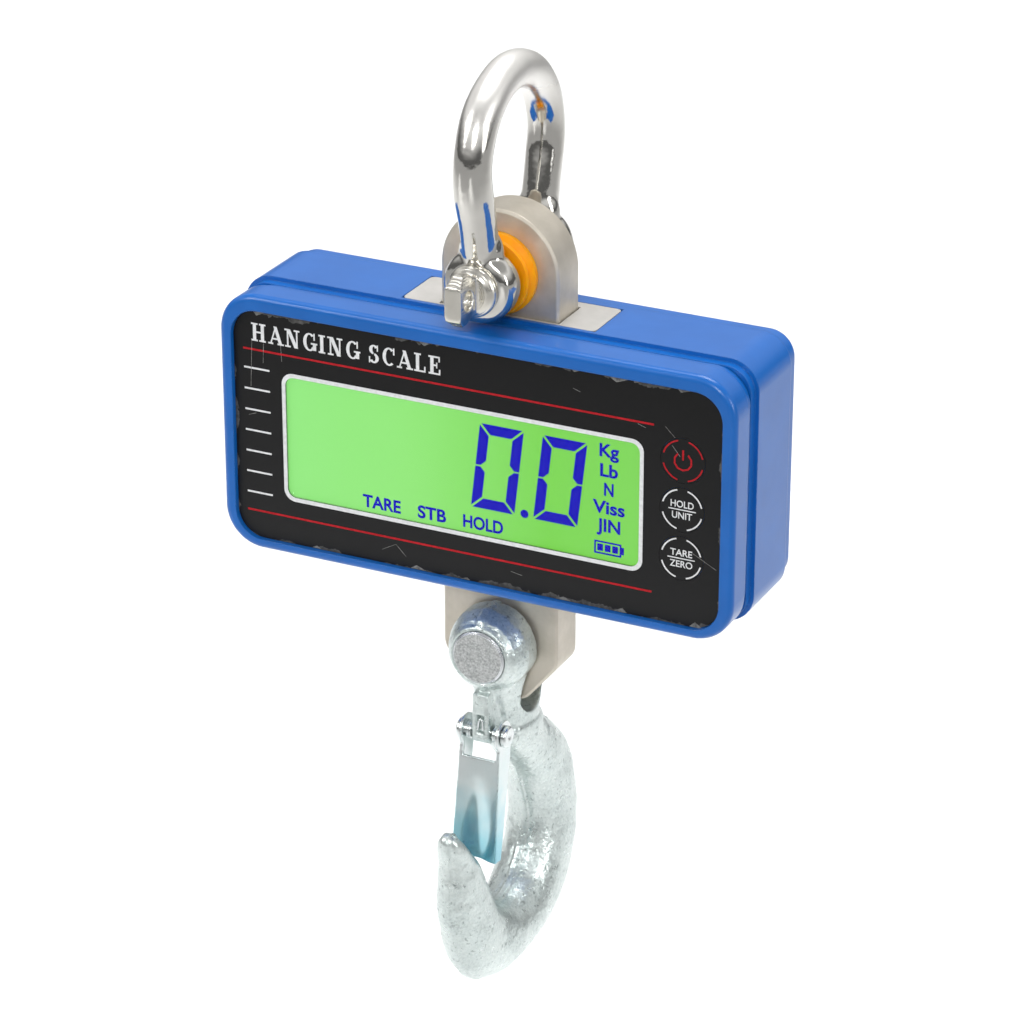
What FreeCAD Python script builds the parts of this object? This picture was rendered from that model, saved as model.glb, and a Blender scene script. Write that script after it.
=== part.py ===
"""Mini crane scale: bow shackle, plate load cell, two-part case with display and keys, hook with latch.

Millimetres. The origin is the hang point, the inside of the shackle's crown. +Z is up, +Y runs from the
display to the back, and +X is to the right of someone who reads the display. The load cell's mid plane is
y = 0 and the centre line of the load is x = 0.
"""
import FreeCAD, Part
import math
import os
import Sketcher

Vector = FreeCAD.Vector
doc = FreeCAD.newDocument("crane_scale")
TINY = 1e-4  # far below any real size here, for comparing places

# ---------------------------------------------------------------- driving dimensions
DIMENSIONS = {
    # shackle
    "bar_radius": 5.4,
    "bow_radius": 23.3,
    "pin_drop": 51.0,
    "jaw_half": 12.4,
    "ear_thick": 10.2,
    "ear_radius": 10.8,
    "ear_round": 3.2,
    "ear_round_share": 0.3,
    "leg_clear": 0.6,
    "pin_radius": 6.0,
    "pin_fit": 0.05,
    "thread_fit": 0.1,
    "collar_radius": 7.5,
    "collar_thick": 2.4,
    "collar_bevel": 0.5,
    "collar_step": 1.2,
    "collar_step_inset": 1.8,
    "collar_dome": 1.6,
    "pin_nose": 1.5,
    "pin_nose_bevel": 0.8,
    "tab_length": 10.8,
    "tab_half_thick": 2.6,
    "tab_half_tip": 7.4,
    "tab_half_root": 5.2,
    "tab_shoulder": 5.0,
    "tab_tip_bevel": 2.2,
    "tab_tip_inset": 2.4,
    "lock_hole_share": 0.47,
    "lock_hole_radius": 2.8,
    # load cell
    "cell_half_width": 18.3,
    "cell_half_thick": 6.7,
    "cell_taper_top": 170.7,
    "cell_bottom": 183.5,
    "cell_tip_half": 7.6,
    "cell_corner": 6.0,
    "cell_edge": 0.7,
    "eye_radius": 8.4,
    "flange_radius": 12.0,
    "flange_thick": 5.2,
    "clevis_drop": 164.8,
    "clevis_bore_radius": 10.0,
    "clevis_pin_radius": 8.2,
    "slot_half": 1.1,
    "slot_reach": 9.5,
    "slot_spread": 15.0,
    "gauge_half_width": 7.5,
    "gauge_half_height": 8.0,
    "gauge_corner": 2.5,
    "foil_thick": 0.2,
    "foil_deep": 3.6,
    "foil_high": 5.0,
    "foil_offset": 2.6,
    "potting_recess": 0.4,
    "cell_thread": 6.0,
    # case
    "case_drop": 102.8,
    "case_half_width": 80.2,
    "case_half_height": 39.5,
    "case_corner": 12.0,
    "rear_corner": 9.0,
    "case_front": 25.4,
    "case_back": 20.0,
    "rim_round": 2.0,
    "back_round": 1.0,
    "band_length": 9.1,
    "seam_inset": 1.3,
    "seam_y": 12.4,
    "gasket_thick": 0.3,
    "gasket_width": 2.0,
    "gasket_inset": 0.15,
    "rear_start": 9.4,
    "step_y": 13.4,
    "step_inset": 1.4,
    "case_wall": 2.4,
    "back_wall": 4.0,
    "panel_half_width": 76.2,
    "panel_half_height": 35.5,
    "panel_z": -0.8,
    "panel_corner": 8.5,
    "panel_recess": 1.5,
    "film_thick": 0.6,
    "face_thick": 2.2,
    # gaps between pieces
    "fit_gap": 0.2,
    "small_gap": 0.1,
    "skin_gap": 0.05,
    "press_gap": 0.02,
    # top and bottom plates round the load cell
    "plate_half_width": 30.0,
    "plate_front": 7.9,
    "plate_back": 10.6,
    "plate_thick": 2.0,
    "plate_corner": 1.6,
    "cell_gap": 0.4,
    # display
    "window_x": -4.15,
    "window_z": -2.9,
    "window_half_width": 55.4,
    "window_half_height": 18.6,
    "window_corner": 2.6,
    "lens_thick": 1.0,
    "glass_half_width": 56.9,
    "glass_half_height": 20.1,
    "glass_corner": 0.6,
    "glass_thick": 2.8,
    "backlight_thick": 3.6,
    "frame_wall": 1.5,
    "board_front": 14.4,
    "board_thick": 1.6,
    "board_half_width": 67.0,
    "board_half_height": 32.0,
    "board_corner": 2.0,
    "board_post_x": 63.5,
    "board_post_z": 28.5,
    "post_radius": 3.0,
    "post_floor": 0.6,
    "post_hole": 8.0,
    "pilot_radius": 1.2,
    # keys
    "key_x": 64.2,
    "key_z": -1.4,
    "key_pitch": 14.65,
    "key_radius": 6.6,
    "key_gap": 0.12,
    "key_stem_radius": 2.0,
    "key_stem_end": 19.5,
    "key_stem_gap": 0.3,
    "key_thick": 0.15,
    # pieces on the board
    "switch_half": 3.0,
    "switch_high": 3.5,
    "button_radius": 1.7,
    "button_high": 1.0,
    "plug_left": -32.0,
    "plug_right": -24.0,
    "plug_half_height": 4.0,
    "plug_high": 5.6,
    "buzzer_x": -52.0,
    "buzzer_z": 24.0,
    "buzzer_radius": 5.0,
    "buzzer_high": 4.2,
    "buzzer_port_radius": 1.0,
    "buzzer_port_deep": 1.0,
    "capacitor_x": 58.0,
    "capacitor_z": -6.0,
    "capacitor_radius": 3.1,
    "capacitor_high": 6.5,
    # fasteners of the case
    "case_screw_x": 72.0,
    "case_screw_z": 31.5,
    "case_boss_radius": 4.0,
    "screw_radius": 1.5,
    "screw_head_radius": 2.8,
    "screw_head_depth": 2.0,
    "screw_head_sink": 0.3,
    "boss_hole": 10.0,
    "case_screw_grip": 6.0,
    "cell_screw_x": 9.0,
    "cell_screw_z": 30.0,
    "cell_screw_radius": 2.0,
    "cell_screw_head": 3.5,
    "cell_head_depth": 2.8,
    "cell_head_sink": 0.6,
    "cell_screw_grip": 5.0,
    "cell_boss_wall": 1.0,
    "board_screw_head": 2.6,
    "board_head_depth": 1.8,
    "board_screw_grip": 4.0,
    "cross_long": 3.0,
    "cross_wide": 0.7,
    "cross_deep": 1.1,
    # battery bay
    "battery_x": 45.0,
    "battery_y": 8.4,
    "battery_radius": 7.25,
    "battery_half_length": 25.25,
    "battery_pitch": 14.8,
    "battery_sleeve_gap": 0.15,
    "battery_tip_high": 1.2,
    "battery_tip_radius": 2.7,
    "contact_half_width": 6.0,
    "contact_half_deep": 5.0,
    "contact_thick": 0.5,
    "spring_foot_radius": 4.2,
    "spring_head_radius": 2.2,
    "bay_half_width": 22.4,
    "bay_half_height": 28.4,
    "bay_wall": 1.3,
    "door_top": 31.0,
    "door_thick": 2.0,
    "door_half_width": 22.7,
    "rib_first": 6.0,
    "rib_pitch": 2.4,
    "rib_half_width": 8.0,
    "rib_high": 1.2,
    "rib_deep": 0.5,
    # leads
    "lead_radius": 0.9,
    "lead_bend": 2.0,
    "lead_x": -3.0,
    "lead_y": -9.6,
    "wire_radius": 0.7,
    "wire_z": 24.0,
    # hook
    "fork_gap_half": 7.7,
    "fork_half_width": 20.9,
    "fork_radius": 13.0,
    "fork_slot_drop": 24.0,
    "bowl_y": -7.9,
    "bowl_z": -230.6,
    "latch_y": -16.8,
    "latch_z": -190.6,
    "lug_radius": 3.1,
    "lug_half_width": 2.8,
    "rivet_radius": 1.6,
    "rivet_head_radius": 3.3,
    "rivet_head_face": 8.1,
    "rivet_head_round": 0.5,
    "rivet_dimple": 1.2,
    "rivet_gap": 0.15,
    "latch_bore_gap": 0.06,
    "clevis_pin_end": 0.5,
    "clevis_pin_bevel": 0.6,
    "coil_wire": 0.8,
    "coil_side_gap": 0.3,
    "latch_half_width": 6.4,
    "latch_tip_half": 7.2,
    "latch_sheet": 1.0,
    "latch_length": 39.2,
    "latch_lean": 7.0,
}

sheet = doc.addObject("Spreadsheet::Sheet", "P")
for row, (alias, value) in enumerate(DIMENSIONS.items(), start=1):
    sheet.set(f"A{row}", alias)
    sheet.set(f"B{row}", str(value))
    sheet.setAlias(f"B{row}", alias)
doc.recompute()

# Named places that several pieces share, written in the sheet's aliases.
PIN_Z = "-P.pin_drop"
CASE_Z = "-P.case_drop"
PANEL_Z = "(P.panel_z - P.case_drop)"
CLEVIS_Z = "-P.clevis_drop"
PANEL_Y = "(P.panel_recess - P.case_front)"
FACE_Y = "(P.panel_recess + P.film_thick - P.case_front)"
FACE_BACK_Y = "(P.panel_recess + P.film_thick + P.face_thick - P.case_front)"
GLASS_Y = "(P.panel_recess + P.lens_thick + P.small_gap - P.case_front)"
BAY_FLOOR_Y = "(P.battery_y - P.battery_radius - P.fit_gap)"


def value_of(expression):
    """The number that an expression in the sheet's aliases stands for, in mm."""
    found = sheet.evalExpression(expression.replace("P.", ""))
    return float(getattr(found, "Value", found))


# ---------------------------------------------------------------- building helpers
FINISHED = []


def finish(thing, label):
    """Names a sub-part, which also names its file."""
    thing.Label = label
    FINISHED.append(thing)
    return thing


def new_body(label):
    return finish(doc.addObject("PartDesign::Body", "Body_" + label), label)


def origin_plane(body, role):
    return next(f for f in body.Origin.OriginFeatures if f.Role == role)


def sketch_on(body, role, along="0", up="0", out="0"):
    """A sketch on one of the body's origin planes, moved along its own x, its own y and its normal."""
    sketch = body.newObject("Sketcher::SketchObject", "Sketch")
    sketch.AttachmentSupport = (origin_plane(body, role), [""])
    sketch.MapMode = "FlatFace"
    for axis, expression in (("x", along), ("y", up), ("z", out)):
        sketch.setExpression(f"AttachmentOffset.Base.{axis}", expression)
    return sketch


def fix(sketch, kind, geometry, point, expression):
    """Pins one coordinate or radius of a sketch's geometry to an expression."""
    number = value_of(expression)
    if point is None:
        index = sketch.addConstraint(Sketcher.Constraint(kind, geometry, number))
    else:
        index = sketch.addConstraint(Sketcher.Constraint(kind, geometry, point, number))
    sketch.setExpression(f"Constraints[{index}]", expression)


def circle(sketch, x, y, radius):
    centre = Vector(value_of(x), value_of(y), 0)
    made = sketch.addGeometry(Part.Circle(centre, Vector(0, 0, 1), value_of(radius)))
    fix(sketch, "Radius", made, None, radius)
    fix(sketch, "DistanceX", made, 3, x)
    fix(sketch, "DistanceY", made, 3, y)


def polygon(sketch, corners):
    """A closed outline of straight lines through corners, each an (x, y) pair of expressions."""
    points = [Vector(value_of(x), value_of(y), 0) for x, y in corners]
    lines = []
    for start, end in zip(points, points[1:] + points[:1]):
        lines.append(sketch.addGeometry(Part.LineSegment(start, end)))
    for line, following in zip(lines, lines[1:] + lines[:1]):
        sketch.addConstraint(Sketcher.Constraint("Coincident", line, 2, following, 1))
    for line, (x, y) in zip(lines, corners):
        fix(sketch, "DistanceX", line, 1, x)
        fix(sketch, "DistanceY", line, 1, y)


def rectangle(sketch, left, right, low, high):
    polygon(sketch, [(left, low), (right, low), (right, high), (left, high)])


def rounded_rectangle(sketch, x, y, half_width, half_height, radius):
    """A rectangle with round corners about the point x, y."""
    cx, cy = value_of(x), value_of(y)
    w, h, r = value_of(half_width), value_of(half_height), value_of(radius)
    made = []
    for turn in range(4):
        a = math.radians(90 * turn)
        along = (w if turn % 2 == 0 else h) - r
        off = h if turn % 2 == 0 else w
        side = Vector(math.cos(a), math.sin(a), 0)
        outward = Vector(math.sin(a), -math.cos(a), 0)
        middle = Vector(cx, cy, 0) + outward * off
        start, end = middle - side * along, middle + side * along
        made.append(sketch.addGeometry(Part.LineSegment(start, end)))
        arc_centre = end - outward * r
        arc = Part.ArcOfCircle(Part.Circle(arc_centre, Vector(0, 0, 1), r), a - math.pi / 2, a)
        made.append(sketch.addGeometry(arc))
    for first, second in zip(made, made[1:] + made[:1]):
        sketch.addConstraint(Sketcher.Constraint("Tangent", first, 2, second, 1))
    sketch.addConstraint(Sketcher.Constraint("Horizontal", made[0]))
    sketch.addConstraint(Sketcher.Constraint("Horizontal", made[4]))
    sketch.addConstraint(Sketcher.Constraint("Vertical", made[2]))
    sketch.addConstraint(Sketcher.Constraint("Vertical", made[6]))
    for arc in made[3::2]:
        sketch.addConstraint(Sketcher.Constraint("Equal", made[1], arc))
    fix(sketch, "Radius", made[1], None, radius)
    fix(sketch, "DistanceY", made[0], 1, f"{y} - ({half_height})")
    fix(sketch, "DistanceY", made[4], 1, f"{y} + {half_height}")
    fix(sketch, "DistanceX", made[2], 1, f"{x} + {half_width}")
    fix(sketch, "DistanceX", made[6], 1, f"{x} - ({half_width})")


def volume(body):
    doc.recompute()
    return body.Shape.Volume


def pad(body, sketch, length, reverse=False, symmetric=False):
    """Adds material along the sketch's normal, or against it when reverse is set."""
    feature = body.newObject("PartDesign::Pad", "Pad")
    feature.Profile = sketch
    feature.setExpression("Length", length)
    feature.Reversed = reverse
    feature.Midplane = symmetric
    doc.recompute()
    return feature


def pocket(body, sketch, length, reverse=False, symmetric=False):
    """Cuts against the sketch's normal, or along it when reverse is set, and proves that it cut."""
    before = volume(body)
    feature = body.newObject("PartDesign::Pocket", "Pocket")
    feature.Profile = sketch
    feature.setExpression("Length", length)
    feature.Reversed = reverse
    feature.Midplane = symmetric
    if not volume(body) < before - TINY:
        raise RuntimeError(f"a pocket in {body.Label} cuts nothing")
    return feature


def revolve(body, sketch, axis="H_Axis"):
    feature = body.newObject("PartDesign::Revolution", "Revolution")
    feature.Profile = sketch
    feature.ReferenceAxis = (sketch, [axis])
    feature.Angle = 360
    doc.recompute()
    return feature


def edges_where(feature, test):
    return [f"Edge{i}" for i, edge in enumerate(feature.Shape.Edges, start=1) if test(edge)]


def fillet(body, feature, test, radius):
    chosen = edges_where(feature, test)
    made = body.newObject("PartDesign::Fillet", "Fillet")
    made.Base = (feature, chosen)
    made.setExpression("Radius", radius)
    doc.recompute()
    return made


def chamfer(body, feature, test, size):
    chosen = edges_where(feature, test)
    made = body.newObject("PartDesign::Chamfer", "Chamfer")
    made.Base = (feature, chosen)
    made.setExpression("Size", size)
    doc.recompute()
    return made


def on_plane_y(edge, y):
    """True for an edge that lies whole in the plane at y."""
    box = edge.BoundBox
    return abs(box.YMin - y) < TINY and abs(box.YMax - y) < TINY


def upright_corner(edge, top):
    """True for an edge that runs along Y below the height top."""
    box = edge.BoundBox
    return box.XLength < TINY and box.ZLength < TINY and box.ZMax < top


def at_y(body, start):
    """A sketch in the plane y = start, with its own x along X and its own y along Z."""
    return sketch_on(body, "XZ_Plane", out=f"-({start})")


def disc(body, x, z, radius, start, length, cut=False):
    """A round boss or hole from the plane y = start towards +Y."""
    sketch = at_y(body, start)
    circle(sketch, x, z, radius)
    if cut:
        return pocket(body, sketch, length)
    return pad(body, sketch, length, reverse=True)


def slab(body, x, z, half_width, half_height, corner, start, length, cut=False):
    """A plate with round corners, or an opening of that outline, from y = start towards +Y."""
    sketch = at_y(body, start)
    rounded_rectangle(sketch, x, z, half_width, half_height, corner)
    if cut:
        return pocket(body, sketch, length)
    return pad(body, sketch, length, reverse=True)


def plain_slab(body, left, right, low, high, start, length, cut=False):
    """A square-cornered block, or an opening, from y = start towards +Y."""
    sketch = at_y(body, start)
    rectangle(sketch, left, right, low, high)
    if cut:
        return pocket(body, sketch, length)
    return pad(body, sketch, length, reverse=True)


def turned(body, z, steps):
    """A piece turned about an axis along Y at height z. steps lists (y, radius) pairs of expressions."""
    sketch = sketch_on(body, "YZ_Plane", up=z)
    polygon(sketch, steps)
    return revolve(body, sketch)


def cylinder(label, x, y, z, radius, length, axis):
    """A plain Part cylinder from a point, along one of the row's axes."""
    made = doc.addObject("Part::Cylinder", label)
    made.setExpression("Radius", radius)
    made.setExpression("Height", length)
    turn = {"x": FreeCAD.Rotation(Vector(0, 1, 0), 90), "y": FreeCAD.Rotation(Vector(1, 0, 0), -90)}
    made.Placement.Rotation = turn.get(axis, FreeCAD.Rotation())
    for name, expression in (("x", x), ("y", y), ("z", z)):
        made.setExpression(f"Placement.Base.{name}", expression)
    return made


def box(label, x, y, z, length, width, height):
    """A plain Part box from its lowest corner."""
    made = doc.addObject("Part::Box", label)
    for name, expression in (("Length", length), ("Width", width), ("Height", height)):
        made.setExpression(name, expression)
    for name, expression in (("x", x), ("y", y), ("z", z)):
        made.setExpression(f"Placement.Base.{name}", expression)
    return made


def fuse(label, shapes):
    made = doc.addObject("Part::MultiFuse", label)
    made.Shapes = shapes
    return made


def cut(label, base, tool):
    made = doc.addObject("Part::Cut", label)
    made.Base = base
    made.Tool = tool
    return made


def group(label, shapes):
    """Separate solids that share one node."""
    made = doc.addObject("Part::Compound", "Group_" + label)
    made.Links = shapes
    return finish(made, label)


# ---------------------------------------------------------------- shackle
def shackle_bow():
    """A round bar bent to a bow, straight legs tangent to it, and an eye at each end."""
    body = new_body("shackle_bow")
    path = sketch_on(body, "YZ_Plane")
    rise = value_of("P.bar_radius - P.bow_radius")
    bow = value_of("P.bow_radius")
    near_tangent = -0.2
    whole = Part.Circle(Vector(0, rise, 0), Vector(0, 0, 1), bow)
    crown_arc = Part.ArcOfCircle(whole, near_tangent, math.pi / 2)
    arc = path.addGeometry(crown_arc)
    foot_height = value_of("P.collar_radius + P.leg_clear - P.pin_drop")
    foot = Vector(value_of("P.jaw_half + P.ear_thick / 2"), foot_height, 0)
    leg = path.addGeometry(Part.LineSegment(crown_arc.StartPoint, foot))
    fix(path, "Radius", arc, None, "P.bow_radius")
    fix(path, "DistanceX", arc, 3, "0")
    fix(path, "DistanceY", arc, 3, "P.bar_radius - P.bow_radius")
    fix(path, "DistanceX", arc, 2, "0")
    path.addConstraint(Sketcher.Constraint("Tangent", leg, 1, arc, 1))
    fix(path, "DistanceX", leg, 2, "P.jaw_half + P.ear_thick / 2")
    fix(path, "DistanceY", leg, 2, "P.collar_radius + P.leg_clear - P.pin_drop")
    section = sketch_on(body, "XZ_Plane")
    circle(section, "0", "P.bar_radius", "P.bar_radius")
    bar = body.newObject("PartDesign::AdditivePipe", "Bar")
    bar.Profile = section
    bar.Spine = (path, [])
    doc.recompute()

    eye = sketch_on(body, "YZ_Plane", up=PIN_Z)
    inner, outer = "P.jaw_half", "P.jaw_half + P.ear_thick"
    bevel, slight = "P.ear_round", "P.ear_round * P.ear_round_share"
    polygon(eye, [
        (inner, "P.pin_radius + P.thread_fit"),
        (outer, "P.pin_radius + P.thread_fit"),
        (outer, f"P.ear_radius - {bevel}"),
        (f"{outer} - {slight}", f"P.ear_radius - {slight}"),
        (f"{outer} - {bevel}", "P.ear_radius"),
        (f"{inner} + {bevel}", "P.ear_radius"),
        (f"{inner} + {slight}", f"P.ear_radius - {slight}"),
        (inner, f"P.ear_radius - {bevel}"),
    ])
    revolve(body, eye)
    half = body.Tip
    mirror = body.newObject("PartDesign::Mirrored", "OtherLeg")
    mirror.Originals = [f for f in body.Group if f.isDerivedFrom("PartDesign::FeatureAddSub")]
    mirror.MirrorPlane = (origin_plane(body, "XZ_Plane"), [""])
    body.Tip = mirror
    doc.recompute()
    if body.Shape.Volume < half.Shape.Volume * 3 / 2:
        raise RuntimeError("the second leg of the shackle is missing")


def shackle_pin():
    """The screw pin: shank, collar against the front eye, and a flat tab with a lock-wire hole."""
    body = new_body("shackle_pin")
    front = "-(P.jaw_half + P.ear_thick)"
    turned(body, PIN_Z, [
        ("P.jaw_half + P.ear_thick + P.pin_nose", "0"),
        ("P.jaw_half + P.ear_thick + P.pin_nose", "P.pin_radius - P.pin_nose_bevel"),
        ("P.jaw_half + P.ear_thick + P.pin_nose - P.pin_nose_bevel", "P.pin_radius"),
        (f"{front}", "P.pin_radius"),
        (f"{front}", "P.collar_radius"),
        (f"{front} - P.collar_thick + P.collar_bevel", "P.collar_radius"),
        (f"{front} - P.collar_thick", "P.collar_radius - P.collar_bevel"),
        (f"{front} - P.collar_thick - P.collar_step", "P.collar_radius - P.collar_step_inset"),
        (f"{front} - P.collar_thick - P.collar_dome", "0"),
    ])
    tab = sketch_on(body, "YZ_Plane", up=PIN_Z)
    root = f"{front} - P.collar_thick"
    tip = f"{root} - P.tab_length"
    polygon(tab, [
        (root, "-P.tab_half_root"),
        (root, "P.tab_half_root"),
        (f"{tip} + P.tab_shoulder", "P.tab_half_tip"),
        (f"{tip} + P.tab_tip_bevel", "P.tab_half_tip"),
        (tip, "P.tab_half_tip - P.tab_tip_inset"),
        (tip, "P.tab_tip_inset - P.tab_half_tip"),
        (f"{tip} + P.tab_tip_bevel", "-P.tab_half_tip"),
        (f"{tip} + P.tab_shoulder", "-P.tab_half_tip"),
    ])
    pad(body, tab, "2 * P.tab_half_thick", symmetric=True)
    hole = sketch_on(body, "YZ_Plane", up=PIN_Z)
    circle(hole, f"{tip} + P.tab_length * P.lock_hole_share", "0", "P.lock_hole_radius")
    pocket(body, hole, "4 * P.tab_half_thick", symmetric=True)


# ---------------------------------------------------------------- load cell and what sits in it
def load_cell():
    """One nickel-plated plate: eye on top, S-cut measuring zone in the middle, clevis eye below."""
    body = new_body("load_cell")
    outline = at_y(body, "-P.cell_half_thick")
    half = value_of("P.cell_half_width")
    top = value_of(PIN_Z)
    crown = Part.ArcOfCircle(Part.Circle(Vector(0, top, 0), Vector(0, 0, 1), half), 0, math.pi)
    arc = outline.addGeometry(crown)
    fix(outline, "Radius", arc, None, "P.cell_half_width")
    fix(outline, "DistanceX", arc, 3, "0")
    fix(outline, "DistanceY", arc, 3, PIN_Z)
    fix(outline, "DistanceY", arc, 1, PIN_Z)
    fix(outline, "DistanceY", arc, 2, PIN_Z)
    corners = [
        ("-P.cell_half_width", PIN_Z),
        ("-P.cell_half_width", "-P.cell_taper_top"),
        ("-P.cell_tip_half", "-P.cell_bottom"),
        ("P.cell_tip_half", "-P.cell_bottom"),
        ("P.cell_half_width", "-P.cell_taper_top"),
        ("P.cell_half_width", PIN_Z),
    ]
    points = [Vector(value_of(x), value_of(z), 0) for x, z in corners]
    lines = [outline.addGeometry(Part.LineSegment(a, b)) for a, b in zip(points, points[1:])]
    outline.addConstraint(Sketcher.Constraint("Coincident", arc, 2, lines[0], 1))
    for first, second in zip(lines, lines[1:]):
        outline.addConstraint(Sketcher.Constraint("Coincident", first, 2, second, 1))
    outline.addConstraint(Sketcher.Constraint("Coincident", lines[-1], 2, arc, 1))
    for line, (x, z) in zip(lines, corners[1:-1]):
        fix(outline, "DistanceX", line, 2, x)
        fix(outline, "DistanceY", line, 2, z)
    plate = pad(body, outline, "2 * P.cell_half_thick", reverse=True)
    taper = value_of("-P.cell_taper_top")
    plate = fillet(body, plate, lambda e: upright_corner(e, taper + 1), "P.cell_corner")
    face = value_of("P.cell_half_thick")
    chamfer(body, plate, lambda e: on_plane_y(e, face) or on_plane_y(e, -face), "P.cell_edge")

    through = "2 * P.cell_half_thick"
    disc(body, "0", PIN_Z, "P.eye_radius", "-P.cell_half_thick", through, cut=True)
    disc(body, "0", CLEVIS_Z, "P.clevis_bore_radius", "-P.cell_half_thick", through, cut=True)
    slab(body, "0", CASE_Z, "P.gauge_half_width", "P.gauge_half_height", "P.gauge_corner",
         "-P.cell_half_thick", through, cut=True)
    for side, slot_z in ((1, f"{CASE_Z} + P.slot_spread"), (-1, f"{CASE_Z} - P.slot_spread")):
        near, far = f"{-side} * P.slot_reach", f"{side} * (P.cell_half_width + 1)"
        low, high = (near, far) if side > 0 else (far, near)
        plain_slab(body, low, high, f"{slot_z} - P.slot_half", f"{slot_z} + P.slot_half",
                   "-P.cell_half_thick", through, cut=True)
    for side in (-1, 1):
        disc(body, f"{side} * P.cell_screw_x", f"{CASE_Z} + P.cell_screw_z", "P.cell_screw_radius",
             "P.cell_half_thick - P.cell_thread", "P.cell_thread + 1", cut=True)


# The bush's rim: share of the flange's thickness, and how far the rim lies inside the flange's radius.
FLANGE_RIM = [(0, 0), (0.3, 0), (0.55, 1.5), (0.8, 0.7), (1, 0.9)]


def eye_bush(label, side):
    """A flanged nylon bush in the upper eye, with a shallow groove round its flange."""
    body = new_body(label)
    face = f"{side} * (P.cell_half_thick + P.press_gap)"
    inner = f"{side} * P.small_gap"
    bore = "P.pin_radius + P.pin_fit"
    rim = [(f"{face} + {side} * P.flange_thick * {share}", f"P.flange_radius - {inside}")
           for share, inside in FLANGE_RIM]
    barrel = [(inner, bore), (inner, "P.eye_radius - P.press_gap"), (face, "P.eye_radius - P.press_gap")]
    turned(body, PIN_Z, barrel + rim + [(f"{face} + {side} * P.flange_thick", bore)])


def clevis_bush():
    body = new_body("clevis_bush")
    turned(body, CLEVIS_Z, [
        ("-P.cell_half_thick", "P.clevis_pin_radius + P.pin_fit"),
        ("P.cell_half_thick", "P.clevis_pin_radius + P.pin_fit"),
        ("P.cell_half_thick", "P.clevis_bore_radius - P.press_gap"),
        ("-P.cell_half_thick", "P.clevis_bore_radius - P.press_gap"),
    ])


def gauge_parts():
    """Foil gauges on the two long walls of the measuring window, and the silicone that seals it."""
    gauges = []
    for side in (-1, 1):
        for place in (-1, 1):
            middle = f"{side} * (P.gauge_half_width - P.small_gap - P.foil_thick / 2)"
            gauges.append(box("GaugeFoil", f"{middle} - P.foil_thick / 2",
                              f"{place} * P.foil_offset - P.foil_deep / 2", f"{CASE_Z} - P.foil_high / 2",
                              "P.foil_thick", "P.foil_deep", "P.foil_high"))
    group("strain_gauges", gauges)
    fill = new_body("gauge_potting")
    slab(fill, "0", CASE_Z, "P.gauge_half_width - P.small_gap - P.foil_thick - P.skin_gap",
         "P.gauge_half_height - P.skin_gap", "P.gauge_corner - P.fit_gap",
         "P.potting_recess - P.cell_half_thick", "2 * (P.cell_half_thick - P.potting_recess)")


def end_plate(label, top, bottom):
    """A light metal plate let into the case round the load cell."""
    body = new_body(label)
    sketch = sketch_on(body, "XY_Plane", out=bottom)
    middle = "(P.plate_back - P.plate_front) / 2"
    rounded_rectangle(sketch, "0", middle, "P.plate_half_width", "(P.plate_back + P.plate_front) / 2",
                      "P.plate_corner")
    pad(body, sketch, "P.plate_thick")
    window = sketch_on(body, "XY_Plane", out=top)
    gap = "P.cell_gap"
    rectangle(window, f"-(P.cell_half_width + {gap})", f"P.cell_half_width + {gap}",
              f"-(P.cell_half_thick + {gap})", f"P.cell_half_thick + {gap}")
    pocket(body, window, "P.plate_thick")


# ---------------------------------------------------------------- case
BATTERY_TOP_Z = f"({CASE_Z} + P.bay_half_height)"
BATTERY_LOW_Z = f"({CASE_Z} - P.bay_half_height)"


def corner_places(x, z):
    """The four corners at plus and minus x, plus and minus z about the case's centre."""
    return [(f"{i} * {x}", f"{CASE_Z} + {j} * {z}") for i in (-1, 1) for j in (-1, 1)]


def cell_passage(body, start, length):
    """The opening through the case for the load cell, from below the case to above it."""
    sketch = sketch_on(body, "XY_Plane", out=f"{CASE_Z} + P.case_half_height + 1")
    gap = "P.cell_gap + P.fit_gap"
    rectangle(sketch, f"-(P.cell_half_width + {gap})", f"P.cell_half_width + {gap}",
              start, f"{start} + {length}")
    pocket(body, sketch, "2 * P.case_half_height + 2")


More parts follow.
